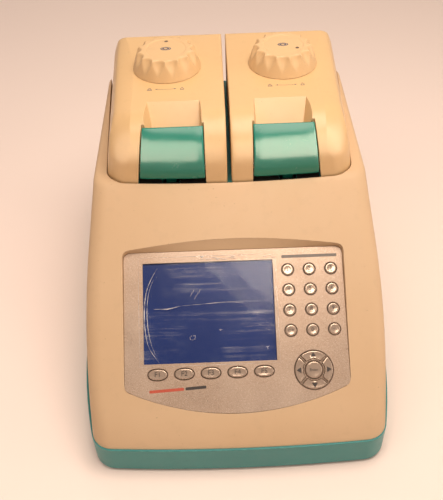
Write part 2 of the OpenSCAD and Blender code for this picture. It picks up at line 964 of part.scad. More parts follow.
// Scalloped knob that sets the lid pressure.
module lid_knob(turn = 0) {
    color(beige)
        translate([block_x, knob_y, lid_top + 0.4])
            rotate(turn)
                difference() {
                    union() {
                        cylinder(r1 = knob_r, r2 = knob_top_r, h = knob_h - 1.5, $fn = 96);
                        translate([0, 0, knob_h - 1.5])
                            cylinder(r1 = knob_top_r, r2 = knob_top_r - 1.5, h = 1.5, $fn = 96);
                    }
                    translate([0, 0, knob_h - 1])
                        cylinder(r = knob_top_r - 9, h = 2, $fn = 64);
                    for (i = [0 : flutes - 1])
                        rotate((i + 0.5) * 360 / flutes)
                            translate([knob_top_r + 5.5, 0, 0])
                                rotate([0, -4, 0])
                                    translate([0, 0, 4])
                                        cylinder(r1 = 2, r2 = 5.5, h = knob_h, $fn = 32);
                }
}

module knob_spindle() {
    color(steel)
        translate([block_x, knob_y, plate_low + plate_t + 6])
            cylinder(r = spindle_r, h = lid_top + 0.4 - plate_low - plate_t - 6, $fn = 48);
}

// Heated pressure plate with the nut that its spindle drives.
module heated_plate(drop = 0) {
    color(metal)
        translate([block_x, knob_y, plate_low - drop])
            difference() {
                union() {
                    translate([-block_w / 2, -block_l / 2, 0])
                        cube([block_w, block_l, plate_t]);
                    translate([0, 0, plate_t])
                        cylinder(r = spindle_r + 5, h = 18, $fn = 48);
                }
                translate([0, 0, plate_t + 0.5])
                    cylinder(r = spindle_r + run_gap, h = 20, $fn = 48);
            }
}

module left() {
    mirror([1, 0, 0])
        children();
}

base_tray();
rubber_feet();
main_housing();
deck_plate();
control_panel();
display_window();
display_module();
keypad_board();
main_board();
power_supply();
heatsinks();
fan_frames();
fan_rotor(-1);  // fan_rotor_left
fan_rotor(1);  // fan_rotor_right
rear_panel();
power_inlet();
power_switch();
data_ports();
sample_block(-1);  // sample_block_left
sample_block(1);  // sample_block_right
peltier_modules();
block_gaskets();
hinge_brackets();
hinge_pins();
housing_screws();
latch_catches();
left() lid_shell();  // lid_shell_left
lid_shell();  // lid_shell_right
left() lid_frame();  // lid_frame_left
lid_frame();  // lid_frame_right
left() lid_handle();  // lid_handle_left
lid_handle();  // lid_handle_right
left() lid_knob();  // lid_knob_left
lid_knob(-120);  // lid_knob_right
left() knob_spindle();  // knob_spindle_left
knob_spindle();  // knob_spindle_right
left() heated_plate();  // heated_plate_left
heated_plate(right_drop);  // heated_plate_right
number_key(0);  // key_1
number_key(1);  // key_2
number_key(2);  // key_3
number_key(3);  // key_4
number_key(4);  // key_5
number_key(5);  // key_6
number_key(6);  // key_7
number_key(7);  // key_8
number_key(8);  // key_9
number_key(9);  // key_clear
number_key(10);  // key_0
number_key(11);  // key_sign
function_key(0);  // key_f1
function_key(1);  // key_f2
function_key(2);  // key_f3
function_key(3);  // key_f4
function_key(4);  // key_f5
arrow_key(90);  // key_up
arrow_key(180);  // key_left
arrow_key(270);  // key_down
arrow_key(0);  // key_right
enter_key();  // key_enter
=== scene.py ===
import json
import math
import random

import bmesh
import bpy
from mathutils import Matrix, Vector

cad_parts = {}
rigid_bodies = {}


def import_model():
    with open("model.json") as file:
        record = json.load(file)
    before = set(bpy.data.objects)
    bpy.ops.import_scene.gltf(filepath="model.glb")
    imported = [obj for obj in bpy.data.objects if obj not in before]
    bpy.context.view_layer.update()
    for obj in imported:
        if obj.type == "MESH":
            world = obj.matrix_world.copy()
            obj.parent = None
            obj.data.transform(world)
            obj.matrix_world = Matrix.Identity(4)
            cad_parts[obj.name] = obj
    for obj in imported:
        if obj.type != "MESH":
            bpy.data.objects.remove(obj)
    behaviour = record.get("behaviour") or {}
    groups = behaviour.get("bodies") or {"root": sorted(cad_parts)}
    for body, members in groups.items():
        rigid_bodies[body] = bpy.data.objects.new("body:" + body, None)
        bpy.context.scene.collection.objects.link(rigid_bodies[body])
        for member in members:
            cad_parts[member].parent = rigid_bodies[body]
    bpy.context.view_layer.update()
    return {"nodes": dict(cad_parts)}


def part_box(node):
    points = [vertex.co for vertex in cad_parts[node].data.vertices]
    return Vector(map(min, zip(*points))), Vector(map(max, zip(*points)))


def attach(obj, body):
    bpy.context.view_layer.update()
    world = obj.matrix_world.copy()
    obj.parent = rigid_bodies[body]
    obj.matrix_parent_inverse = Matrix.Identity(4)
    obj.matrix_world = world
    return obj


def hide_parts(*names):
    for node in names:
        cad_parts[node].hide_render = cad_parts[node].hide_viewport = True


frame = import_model()
MM = 0.001
scene = bpy.context.scene
rng = random.Random(7)


# ---------------------------------------------------------------- places from the frame, in mm

def box_mm(node):
    lo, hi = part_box(node)
    return lo / MM, hi / MM


def centre_mm(node):
    lo, hi = box_mm(node)
    return (lo + hi) / 2


tray_lo, tray_hi = box_mm("base_tray")
HALF_W = tray_hi.x
FRONT = tray_lo.y
REAR = tray_hi.y
TRAY_TOP = tray_hi.z
DECK = box_mm("deck_plate")[1].z
RIM = DECK + 5
lid_lo, lid_hi = box_mm("lid_shell_right")
LID_IN, LID_OUT = lid_lo.x, lid_hi.x
LID_FRONT, LID_REAR = lid_lo.y, lid_hi.y
LID_LOW, LID_TOP = lid_lo.z, lid_hi.z
LID_TAPER = 10
knob_lo, knob_hi = box_mm("lid_knob_left")
KNOB_X = -(knob_lo.x + knob_hi.x) / 2
KNOB_Y = (knob_lo.y + knob_hi.y) / 2
KNOB_R = (knob_hi.x - knob_lo.x) / 2
KNOB_LOW, KNOB_TOP = knob_lo.z, knob_hi.z
# lower edge of the slope, then the flanks' lean, the rim's rise to the rear, the wall and the plan bow
NOSE_D, NOSE_Z = 23.0, 57.0
SLOPE = math.atan((RIM - NOSE_Z) / (LID_FRONT - FRONT - NOSE_D))
LEAN = 20.0
RISE = 7.0
WALL = 3.0
BOW = 5.0
# plan bow's reference half width, the step in from the tray and the lean of the rear wall
BOW_SPAN = 115.0
STEP_IN = 2
REAR_LEAN = 13

V_AXIS = (centre_mm("key_1") - centre_mm("key_clear")).normalized()
U_AXIS = Vector((1, 0, 0))
W_AXIS = U_AXIS.cross(V_AXIS).normalized()
LCD_C = Vector((-23.5, 1.0))
PANEL_O = centre_mm("display_window") + W_AXIS * 1.15


def on_panel(u, v, w=0.0):
    return PANEL_O + U_AXIS * (u - LCD_C.x) + V_AXIS * (v - LCD_C.y) + W_AXIS * w


# ---------------------------------------------------------------- mesh helpers

TAU = 2 * math.pi


def arc(cx, cy, r, start, steps, first=1):
    """Points of a quarter circle from a starting angle in degrees, turning left."""
    turns = [math.radians(start + 90 * i / steps) for i in range(first, steps + 1)]
    return [(cx + r * math.cos(a), cy + r * math.sin(a)) for a in turns]


def turned(points, a):
    return [(x * math.cos(a) - y * math.sin(a), x * math.sin(a) + y * math.cos(a)) for x, y in points]


def smoothstep(t):
    t = max(0.0, min(1.0, t))
    return t * t * (3 - 2 * t)


def lerp(a, b, t):
    return a + (b - a) * t


def shade(ob, angle=28.0):
    """Smooth faces, with sharp edges where two faces meet at more than the angle."""
    bm = bmesh.new()
    bm.from_mesh(ob.data)
    limit = math.radians(angle)
    for f in bm.faces:
        f.smooth = True
    for e in bm.edges:
        e.smooth = len(e.link_faces) != 2 or e.calc_face_angle(0) < limit
    bm.to_mesh(ob.data)
    bm.free()
    return ob


def make(name, verts, faces, mats=(), angle=28.0, fix=True):
    me = bpy.data.meshes.new(name)
    me.from_pydata([tuple(c * MM for c in v) for v in verts], [], faces)
    me.update()
    ob = bpy.data.objects.new(name, me)
    scene.collection.objects.link(ob)
    for m in mats:
        me.materials.append(m)
    if fix:
        bm = bmesh.new()
        bm.from_mesh(me)
        bmesh.ops.recalc_face_normals(bm, faces=bm.faces)
        bm.to_mesh(me)
        bm.free()
    if angle:
        shade(ob, angle)
    return ob


def loft(name, rings, mats=(), angle=28.0, caps=True):
    n = len(rings[0])
    verts = [p for r in rings for p in r]
    faces = []
    for i in range(len(rings) - 1):
        for j in range(n):
            k = (j + 1) % n
            faces.append((i * n + j, i * n + k, (i + 1) * n + k, (i + 1) * n + j))
    if caps:
        faces.append(tuple(reversed(range(n))))
        faces.append(tuple((len(rings) - 1) * n + j for j in range(n)))
    return make(name, verts, faces, mats, angle)


def slab(name, outline, z0, z1, place=None, mats=(), angle=28.0):
    """Prism of a plan outline between two heights, or between two depths of a placed plane."""
    place = place or (lambda x, y, z: (x, y, z))
    rings = [[tuple(place(x, y, z)) for x, y in outline] for z in (z0, z1)]
    return loft(name, rings, mats, angle)


def across(a, b, c):
    """Places a slab's outline in the side view, with its depth along X."""
    return c, a, b


def brick(name, lo, hi, mats=()):
    out = [(lo[0], lo[1]), (hi[0], lo[1]), (hi[0], hi[1]), (lo[0], hi[1])]
    return slab(name, out, lo[2], hi[2], mats=mats)


def evaluated(ob):
    dg = bpy.context.evaluated_depsgraph_get()
    me = bpy.data.meshes.new_from_object(ob.evaluated_get(dg))
    ob.modifiers.clear()
    old = ob.data
    ob.data = me
    bpy.data.meshes.remove(old)
    return ob


def carve(ob, cutter, how="DIFFERENCE"):
    mod = ob.modifiers.new("carve", "BOOLEAN")
    mod.operation = how
    mod.solver = "EXACT"
    mod.object = cutter
    evaluated(ob)
    data = cutter.data
    bpy.data.objects.remove(cutter)
    bpy.data.meshes.remove(data)
    return ob


def join(ob, others):
    """Joins meshes that sit in place, keeping their materials."""
    for other in others:
        base = len(ob.data.materials)
        names = [m.name for m in ob.data.materials]
        remap = {}
        for i, m in enumerate(other.data.materials):
            if m.name in names:
                remap[i] = names.index(m.name)
            else:
                ob.data.materials.append(m)
                remap[i] = base
                base += 1
                names.append(m.name)
        for p in other.data.polygons:
            p.material_index = remap.get(p.material_index, 0)
        bm = bmesh.new()
        bm.from_mesh(ob.data)
        bm.from_mesh(other.data)
        bm.to_mesh(ob.data)
        bm.free()
        data = other.data
        bpy.data.objects.remove(other)
        bpy.data.meshes.remove(data)
    return ob


def mirrored(ob, name):
    me = ob.data.copy()
    me.transform(Matrix.Scale(-1, 4, (1, 0, 0)))
    me.flip_normals()
    new = bpy.data.objects.new(name, me)
    scene.collection.objects.link(new)
    return new


def bevel(ob, width, segments=3, angle=35.0):
    mod = ob.modifiers.new("edge", "BEVEL")
    mod.width = width * MM
    mod.segments = segments
    mod.limit_method = "ANGLE"
    mod.angle_limit = math.radians(angle)
    mod.harden_normals = False
    return ob


def text_mesh(name, body, size, place, mats, thick=0.03):
    """Flat lettering centred on its own origin, laid out by place(x, y, z)."""
    cu = bpy.data.curves.new(name, "FONT")
    cu.body = body
    cu.size = size
    cu.align_x = "CENTER"
    cu.align_y = "CENTER"
    cu.extrude = thick
    cu.resolution_u = 3
    tmp = bpy.data.objects.new(name + "_tmp", cu)
    scene.collection.objects.link(tmp)
    dg = bpy.context.evaluated_depsgraph_get()
    me = bpy.data.meshes.new_from_object(tmp.evaluated_get(dg))
    bpy.data.objects.remove(tmp)
    for v in me.vertices:
        v.co = Vector(place(*v.co)) * MM
    ob = bpy.data.objects.new(name, me)
    scene.collection.objects.link(ob)
    me.materials.clear()
    for m in mats:
        me.materials.append(m)
    return ob


def paint(ob, mat):
    ob.data.materials.clear()
    ob.data.materials.append(mat)
    return ob


def merge(name, parts):
    whole = join(parts[0], parts[1:])
    whole.name = name
    return whole


def settle(ob, body, node=None):
    """Says which body a piece rides and hides the CAD node it stands for, if one is given."""
    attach(ob, body)
    if node:
        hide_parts(node)


# ---------------------------------------------------------------- materials

class Mat:
    """A Principled material with a few node shortcuts, on object coordinates in metres."""

    def __init__(self, name, base, rough=0.5, metal=0.0, spec=0.5):
        self.m = bpy.data.materials.new(name)
        self.m.use_nodes = True
        self.t = self.m.node_tree
        self.b = self.t.nodes["Principled BSDF"]
        self.out = self.t.nodes["Material Output"]
        self.set("Base Color", (*base, 1))
        self.set("Roughness", rough)
        self.set("Metallic", metal)
        self.set("Specular IOR Level", spec)
        self.base = base
        self.co = self.node("ShaderNodeTexCoord").outputs["Object"]
        self.normal = None

    def set(self, socket, value):
        self.b.inputs[socket].default_value = value

    def node(self, kind, inputs=None, **props):
        n = self.t.nodes.new(kind)
        for k, v in props.items():
            setattr(n, k, v)
        for k, v in (inputs or {}).items():
            n.inputs[k].default_value = v
        return n

    def link(self, a, b):
        self.t.links.new(a, b)

    def noise(self, scale, detail=3.0, rough=0.5, stretch=None):
        src = self.co
        if stretch:
            mp = self.node("ShaderNodeMapping", {"Scale": stretch})
            self.link(src, mp.inputs["Vector"])
            src = mp.outputs["Vector"]
        n = self.node("ShaderNodeTexNoise", {"Scale": scale, "Detail": detail, "Roughness": rough})
        self.link(src, n.inputs["Vector"])
        return n.outputs["Fac"]

    def remap(self, value, a, b, c=0.0, d=1.0):
        n = self.node("ShaderNodeMapRange", {"From Min": a, "From Max": b, "To Min": c, "To Max": d})
        self.link(value, n.inputs["Value"])
        return n.outputs["Result"]

    def maths(self, operation, a, b):
        n = self.node("ShaderNodeMath", operation=operation)
        self.link(a, n.inputs[0])
        self.link(b, n.inputs[1])
        return n.outputs[0]

    def mixed(self, factor, a, b):
        """Shader b over shader a, by a factor."""
        n = self.node("ShaderNodeMixShader")
        for i, source in enumerate((factor, a, b)):
            self.link(source, n.inputs[i])
        return n.outputs[0]

    def tint(self, factor, colour, amount=1.0):
        """Mixes a colour over what the base colour is so far, where the factor is high."""
        n = self.node("ShaderNodeMix", data_type="RGBA")
        sock = self.b.inputs["Base Color"]
        if sock.is_linked:
            self.link(sock.links[0].from_socket, n.inputs[6])
        else:
            n.inputs[6].default_value = sock.default_value
        n.inputs[7].default_value = (*colour, 1)
        f = self.remap(factor, 0, 1, 0, amount)
        self.link(f, n.inputs[0])
        self.link(n.outputs[2], sock)
        return self

    def rough(self, factor, lo, hi):
        self.link(self.remap(factor, 0, 1, lo, hi), self.b.inputs["Roughness"])
        return self

    def bump(self, height, depth_mm, strength=1.0):
        n = self.node("ShaderNodeBump", {"Strength": strength, "Distance": depth_mm * MM})
        self.link(height, n.inputs["Height"])
        if self.normal is not None:
            self.link(self.normal, n.inputs["Normal"])
        self.normal = n.outputs["Normal"]
        self.link(self.normal, self.b.inputs["Normal"])
        return self

    def soften(self, radius_mm, samples=6):
        n = self.node("ShaderNodeBevel", {"Radius": radius_mm * MM}, samples=samples)
        self.normal = n.outputs["Normal"]
        self.link(self.normal, self.b.inputs["Normal"])
        return self

    def worn(self, colour, amount, radius=1.6):
        """Lighter or darker rubbed edges, from how far the rounded normal leaves the true one."""
        n = self.node("ShaderNodeBevel", {"Radius": radius * MM}, samples=4)
        geo = self.node("ShaderNodeNewGeometry")
        dot = self.node("ShaderNodeVectorMath", operation="DOT_PRODUCT")
        self.link(n.outputs["Normal"], dot.inputs[0])
        self.link(geo.outputs["Normal"], dot.inputs[1])
        edge = self.remap(dot.outputs["Value"], 0.995, 0.85, 0.0, 1.0)
        patchy = self.maths("MULTIPLY", edge, self.remap(self.noise(220, 4), 0.4, 0.62))
        return self.tint(patchy, colour, amount)


def plastic(name, base, dark, rough, grain, grain_mm, edge=0.6, spec=0.5, worn=None):
    m = Mat(name, base, rough, spec=spec)
    m.soften(edge)
    m.tint(m.remap(m.noise(9, 4), 0.35, 0.7), dark, 0.35)
    m.tint(m.remap(m.noise(90, 5, 0.6), 0.55, 0.75), tuple(c * 0.86 for c in base), 0.35)
    speck = m.remap(m.noise(420, 2), 0.74, 0.78)
    m.tint(speck, tuple(c * 0.45 for c in base), 0.5)
    m.rough(m.remap(m.noise(60, 5, 0.65), 0.3, 0.7), rough - 0.05, rough + 0.08)
    m.bump(m.noise(grain, 2, 0.6), grain_mm, 0.5)
    scratch = m.remap(m.noise(30, 6, 0.7, stretch=(1, 14, 14)), 0.62, 0.66)
    m.bump(scratch, 0.01, 0.25)
    if worn:
        m.worn(*worn)
    return m.m


HOUSING = plastic("housing_plastic", (0.66, 0.455, 0.27), (0.60, 0.39, 0.21), 0.50, 2600, 0.035,
                  0.9, 0.45, ((0.76, 0.60, 0.42), 0.5))
LID = plastic("lid_plastic", (0.76, 0.505, 0.25), (0.71, 0.455, 0.20), 0.33, 3200, 0.012,
              0.8, 0.5, ((0.82, 0.66, 0.44), 0.4))
KNOB = plastic("knob_plastic", (0.76, 0.515, 0.27), (0.66, 0.42, 0.19), 0.40, 3000, 0.015,
               0.5, 0.5, ((0.80, 0.66, 0.44), 0.4))
TRAY = plastic("tray_plastic", (0.042, 0.25, 0.235), (0.03, 0.19, 0.185), 0.36, 2400, 0.02,
               1.0, 0.5, ((0.12, 0.46, 0.42), 0.5))
HANDLE = plastic("handle_plastic", (0.012, 0.235, 0.165), (0.010, 0.20, 0.14), 0.21, 2800, 0.008,
                 0.6, 0.5, ((0.10, 0.42, 0.34), 0.4))
BLACK = plastic("black_plastic", (0.020, 0.020, 0.021), (0.03, 0.03, 0.03), 0.45, 2200, 0.03, 0.4)
RUBBER = plastic("foot_rubber", (0.025, 0.024, 0.023), (0.04, 0.038, 0.035), 0.75, 1500, 0.05, 0.5)


def metal(name, base, rough, brush=(1, 30, 30), edge=0.3):
    m = Mat(name, base, rough, 1.0)
    m.soften(edge, 4)
    m.tint(m.remap(m.noise(25, 5), 0.35, 0.7), tuple(c * 0.8 for c in base), 0.5)
    m.rough(m.remap(m.noise(140, 4, 0.6, stretch=brush), 0.3, 0.7), rough - 0.08, rough + 0.1)
    m.bump(m.noise(160, 5, 0.7, stretch=brush), 0.01, 0.3)
    return m.m


SHEET = metal("sheet_steel", (0.42, 0.42, 0.42), 0.38)
BRIGHT = metal("bright_steel", (0.62, 0.62, 0.61), 0.2, (30, 30, 1))
ALUMINIUM = metal("aluminium", (0.66, 0.67, 0.68), 0.35)
BLOCK = metal("block_metal", (0.60, 0.61, 0.62), 0.3, (12, 12, 12))


def ceramic():
    m = Mat("white_ceramic", (0.78, 0.77, 0.72), 0.5)
    m.tint(m.remap(m.noise(200, 4), 0.4, 0.7), (0.6, 0.58, 0.52), 0.4)
    m.bump(m.noise(1500, 2), 0.02, 0.4)
    return m.m


def circuit():
    m = Mat("circuit_board", (0.012, 0.10, 0.035), 0.35)
    dark, light = (0, 0, 0, 1), (1, 1, 1, 1)
    track = m.node("ShaderNodeTexBrick", {"Scale": 160, "Mortar Size": 0.03, "Color1": dark,
                                          "Color2": dark, "Mortar": light})
    m.link(m.co, track.inputs["Vector"])
    m.tint(track.outputs["Color"], (0.25, 0.42, 0.10), 0.6)
    m.bump(track.outputs["Color"], 0.05, 0.5)
    m.rough(m.noise(300, 3), 0.28, 0.45)
    return m.m


CERAMIC = ceramic()
CIRCUIT = circuit()


def panel_film():
    """Silver speckled membrane with a warm cast, rubbed and slightly rippled."""
    m = Mat("panel_film", (0.49, 0.345, 0.245), 0.34, 0.35, 0.5)
    m.soften(0.4)
    m.tint(m.remap(m.noise(1500, 2, 0.7), 0.52, 0.68), (0.86, 0.74, 0.60), 0.6)
    m.tint(m.remap(m.noise(1150, 2, 0.7), 0.52, 0.70), (0.27, 0.18, 0.13), 0.6)
    m.tint(m.remap(m.noise(14, 4), 0.42, 0.72), (0.62, 0.50, 0.40), 0.4)
    m.rough(m.remap(m.noise(35, 5, 0.6), 0.3, 0.7), 0.26, 0.42)
    m.bump(m.noise(38, 3), 0.16, 0.35)
    m.bump(m.noise(2600, 2), 0.015, 0.5)
    return m.m


def key_film():
    m = Mat("key_film", (0.50, 0.36, 0.26), 0.14, 0.55, 0.6)
    m.tint(m.remap(m.noise(3000, 2, 0.7), 0.45, 0.7), (0.85, 0.75, 0.64), 0.4)
    m.tint(m.remap(m.noise(1900, 2, 0.7), 0.55, 0.72), (0.30, 0.22, 0.17), 0.4)
    m.rough(m.noise(120, 4), 0.10, 0.24)
    m.bump(m.noise(90, 3), 0.08, 0.3)
    m.set("Coat Weight", 0.6)
    m.set("Coat Roughness", 0.08)
    return m.m


def ink(name, base, rough=0.4):
    m = Mat(name, base, rough)
    m.tint(m.remap(m.noise(900, 4, 0.7), 0.5, 0.75), tuple(min(1, c * 1.8 + 0.05) for c in base), 0.4)
    m.rough(m.noise(300, 3), rough - 0.1, rough + 0.12)
    m.bump(m.noise(2500, 2), 0.01, 0.3)
    return m.m


def screen():
    """Unlit liquid crystal face: deep blue, a little mottled, with fine pixel rows."""
    m = Mat("display_face", (0.008, 0.030, 0.165), 0.22, 0.0, 0.3)
    m.tint(m.remap(m.noise(16, 4), 0.35, 0.7), (0.013, 0.042, 0.21), 0.7)
    m.tint(m.remap(m.noise(45, 5, 0.65), 0.5, 0.75), (0.040, 0.070, 0.20), 0.6)
    wave = m.node("ShaderNodeTexWave", {"Scale": 800}, wave_type="BANDS", bands_direction="X")
    m.link(m.co, wave.inputs["Vector"])
    m.tint(wave.outputs["Fac"], (0.008, 0.022, 0.10), 0.35)
    m.rough(m.noise(80, 3), 0.16, 0.3)
    m.bump(m.noise(30, 2), 0.1, 0.2)
    return m.m


def scratched_film():
    """Clear cover sheet: mostly see-through, hazy where it is rubbed or scratched."""
    m = Mat("clear_film", (0.80, 0.80, 0.82), 0.15, 0.0, 0.6)
    m.bump(m.noise(26, 3), 0.5, 0.5)
    m.bump(m.noise(120, 4, 0.6), 0.05, 0.5)
    fine = m.remap(m.noise(24, 8, 0.8, stretch=(0.3, 9, 9)), 0.50, 0.66)
    fine2 = m.remap(m.noise(40, 8, 0.8, stretch=(5, 1.2, 1.2)), 0.60, 0.76)
    patch = m.remap(m.noise(15, 3), 0.50, 0.68)
    haze = m.remap(m.noise(22, 6, 0.7), 0.45, 0.8)
    rubbed = m.maths("ADD", m.maths("MULTIPLY", fine, patch), m.maths("MULTIPLY", fine2, haze))
    rubbed = m.maths("ADD", rubbed, m.remap(haze, 0, 1, 0, 0.16))
    fresnel = m.node("ShaderNodeFresnel", {"IOR": 1.38})
    clear = m.node("ShaderNodeBsdfTransparent")
    gloss = m.node("ShaderNodeBsdfGlossy", {"Roughness": 0.12, "Color": (1, 1, 1, 1)})
    m.link(m.normal, gloss.inputs["Normal"])
    m.link(m.normal, fresnel.inputs["Normal"])
    hazy = m.mixed(m.remap(rubbed, 0.05, 1.0, 0.0, 0.34), clear.outputs[0], m.b.outputs[0])
    m.link(m.mixed(fresnel.outputs[0], hazy, gloss.outputs[0]), m.out.inputs["Surface"])
    return m.m


# Raised folds and edges of the clear cover sheet: the creases are real, but their pale whitish colour is
# painted glint, light caught along them.
def crease_and_glint_film():
    m = Mat("film_crease_and_glint", (0.85, 0.82, 0.78), 0.12, 0.0, 0.9)
    m.rough(m.noise(400, 3), 0.06, 0.25)
    m.tint(m.noise(200, 3), (0.95, 0.93, 0.9), 0.8)
    m.bump(m.noise(500, 3), 0.05, 0.5)
    clear = m.node("ShaderNodeBsdfTransparent")
    share = m.remap(m.noise(160, 4), 0.35, 0.65, 0.25, 0.75)
    m.link(m.mixed(share, clear.outputs[0], m.b.outputs[0]), m.out.inputs["Surface"])
    return m.m


PANEL = panel_film()
KEY = key_film()
INK_DARK = ink("print_dark", (0.045, 0.035, 0.03))
INK_BROWN = ink("print_brown", (0.14, 0.085, 0.055))
INK_RED = ink("print_red", (0.50, 0.085, 0.045))
INK_GREY = ink("print_grey", (0.16, 0.135, 0.11))
INK_BLUE = ink("print_blue", (0.07, 0.075, 0.12))
LCD = screen()
FILM = scratched_film()
CREASE_AND_GLINT = crease_and_glint_film()


# ---------------------------------------------------------------- housing

PINCH, PINCH_DEPTH = 22.0, 150.0


def half_w(depth):
    """Half width of the tray at a depth behind its front: it draws in towards the front."""
    pinch = PINCH * ((PINCH_DEPTH - depth) / PINCH_DEPTH) ** 2 if depth < PINCH_DEPTH else 0.0
    return HALF_W - pinch


def nose_y(z):
    """Distance of the housing's front face behind the tray front, at a height."""
    pull = 19
    end = (NOSE_D, NOSE_Z)
    mid = (NOSE_D - pull * math.cos(SLOPE), NOSE_Z - pull * math.sin(SLOPE))
    start = (2.0, TRAY_TOP)
    if z >= NOSE_Z:
        return NOSE_D + (z - NOSE_Z) / math.tan(SLOPE)
    if z <= TRAY_TOP:
        return start[0]
    lo, hi = 0.0, 1.0
    for _ in range(24):
        t = (lo + hi) / 2
        zz = (1 - t) ** 2 * start[1] + 2 * t * (1 - t) * mid[1] + t * t * end[1]
        lo, hi = (t, hi) if zz < z else (lo, t)
    return (1 - t) ** 2 * start[0] + 2 * t * (1 - t) * mid[0] + t * t * end[0]


def housing_ring(z, inset=0.0, edge=0.0):
    """Closed outline of the housing at a height, drawn in by an inset and a top rounding."""
    up = min(1.0, max(0.0, (z - TRAY_TOP) / (RIM - TRAY_TOP)))
    f = FRONT + nose_y(z) + inset / math.sin(SLOPE) + edge
    r = REAR - STEP_IN - REAR_LEAN * up - inset - edge * 0.6
    corner = max(3.0, lerp(20, 15, smoothstep(up * 4)) - inset)
    bow = BOW * (1 - 0.25 * up)

    def hw(y):
        return half_w(y - FRONT) - STEP_IN - LEAN * up - inset - edge

    w0 = hw(f + bow + corner)
    pts = []
    for i in range(25):
        t = -1 + 2 * i / 24
        x = t * (w0 - corner)
        pts.append((x, f + bow * (x / w0) ** 2))
    yc = f + bow * ((w0 - corner) / w0) ** 2 + corner
    pts += arc(w0 - corner, yc, corner, -90, 8)
    rc = max(3.0, 22 - 6 * up - inset)
    y1 = r - rc
    for i in range(1, 33):
        y = lerp(yc, y1, i / 32)
        pts.append((hw(y) if i < 32 else hw(y1), y))
    pts += arc(hw(y1) - rc, y1, rc, 0, 8)
    for i in range(1, 12):
        t = 1 - 2 * i / 12
        pts.append((t * (hw(y1) - rc), r))
    return pts + [(-x, y) for x, y in reversed(pts[25:65 + 8])]


def housing_loft(name, inset=0.0, low=None):
    rings = []
    zs = [low] if low is not None else []
    zs += [TRAY_TOP + (NOSE_Z - TRAY_TOP) * i / 12 for i in range(12)]
    top = RIM - inset
    fillet = 4.0
    zs += [lerp(NOSE_Z, top - fillet, i / 40) for i in range(41)]
    levels = [(z, 0.0) for z in zs]
    for i in range(1, 7):
        a = math.radians(15 * i)
        levels.append((top - fillet + fillet * math.sin(a), fillet * (1 - math.cos(a))))
    for z, e in levels:
        ring = []
        for x, y in housing_ring(max(z, TRAY_TOP), inset, e):
            d = max(0.0, (y - LID_FRONT) / (REAR - LID_FRONT))
            k = max(0.0, (z - TRAY_TOP) / (RIM - TRAY_TOP)) ** 2
            ring.append((x, y, z + RISE * d * k))
        rings.append(ring)
    return loft(name, rings)


def rounded(corners, radius, steps=6):
    """A closed polygon with its listed corners rounded. Corners are (x, y, rounded or not)."""
    out = []
    n = len(corners)
    for i, (x, y, on) in enumerate(corners):
        if not on:
            out.append((x, y))
            continue
        p = Vector((x, y))
        a = Vector(corners[i - 1][:2])
        b = Vector(corners[(i + 1) % n][:2])
        ra = min(radius, (a - p).length * 0.9)
        rb = min(radius, (b - p).length * 0.9)
        s = p + (a - p).normalized() * ra
        e = p + (b - p).normalized() * rb
        for k in range(steps + 1):
            t = k / steps
            q = s * (1 - t) ** 2 + p * 2 * t * (1 - t) + e * t * t
            out.append((q.x, q.y))
    return out


# control panel round its own origin: half width, reach down and up, and rise of its curved lower edge
PW, PUP, PTOP, PBOW = 101.0, 90.3, 57.3, 22.5


def panel_outline(grow=0.0, crown=0.0, radius=7.0):
    """Outline of the control panel, with an optional crown on its upper edge."""
    w, low, top = PW + grow, -PUP - grow, PTOP + grow
    arc = [(w * (t / 12), low + PBOW * (t / 12) ** 2) for t in range(-12, 13)]
    pts = []
    for i, (x, y) in enumerate(arc):
        if i in (1, len(arc) - 2):
            continue
        pts.append((x, y, i in (0, len(arc) - 1)))
    for i in range(0, 17):
        t = 1 - 2 * i / 16
        pts.append((w * t, top + crown * (1 - t * t), i in (0, 16)))
    return rounded(pts, radius)


def lids_outline(grow=0.0, back=0.0, bow=BOW):
    w1, w2 = LID_OUT - LID_TAPER + grow, LID_OUT + grow
    c = 20.0
    pts = []
    f = LID_FRONT - grow
    for i in range(17):
        t = -1 + 2 * i / 16
        x = t * (w1 - c)
        pts.append((x, f + bow * (x / w1) ** 2))
    yc = f + bow * ((w1 - c) / w1) ** 2 + c
    turn = arc(w1 - c, yc, c, -90, 8)
    turn += [(w2, LID_REAR + grow), (w2, LID_REAR + grow + back)]
    return pts + turn + [(-x, y) for x, y in reversed(turn)]


def pocket(name):
    """The recess that the control panel lies in: it deepens towards a crowned upper lip."""
    rings = []
    for w, grow, crown in ((-2.0, 0.35, 0.0), (0.0, 0.35, 0.0), (3.0, 0.5, 3.4),
                           (7.6, 1.0, 8.0), (26.0, 1.6, 12.0)):
        rings.append([tuple(on_panel(x, y, w)) for x, y in panel_outline(grow, crown)])
    return loft(name, rings)


# vent slots in each flank: how many, distance behind the front, pitch, width and height
VENTS, VENT_FROM, VENT_PITCH, VENT_W, VENT_H = 11, 62, 7, 2.6, 14


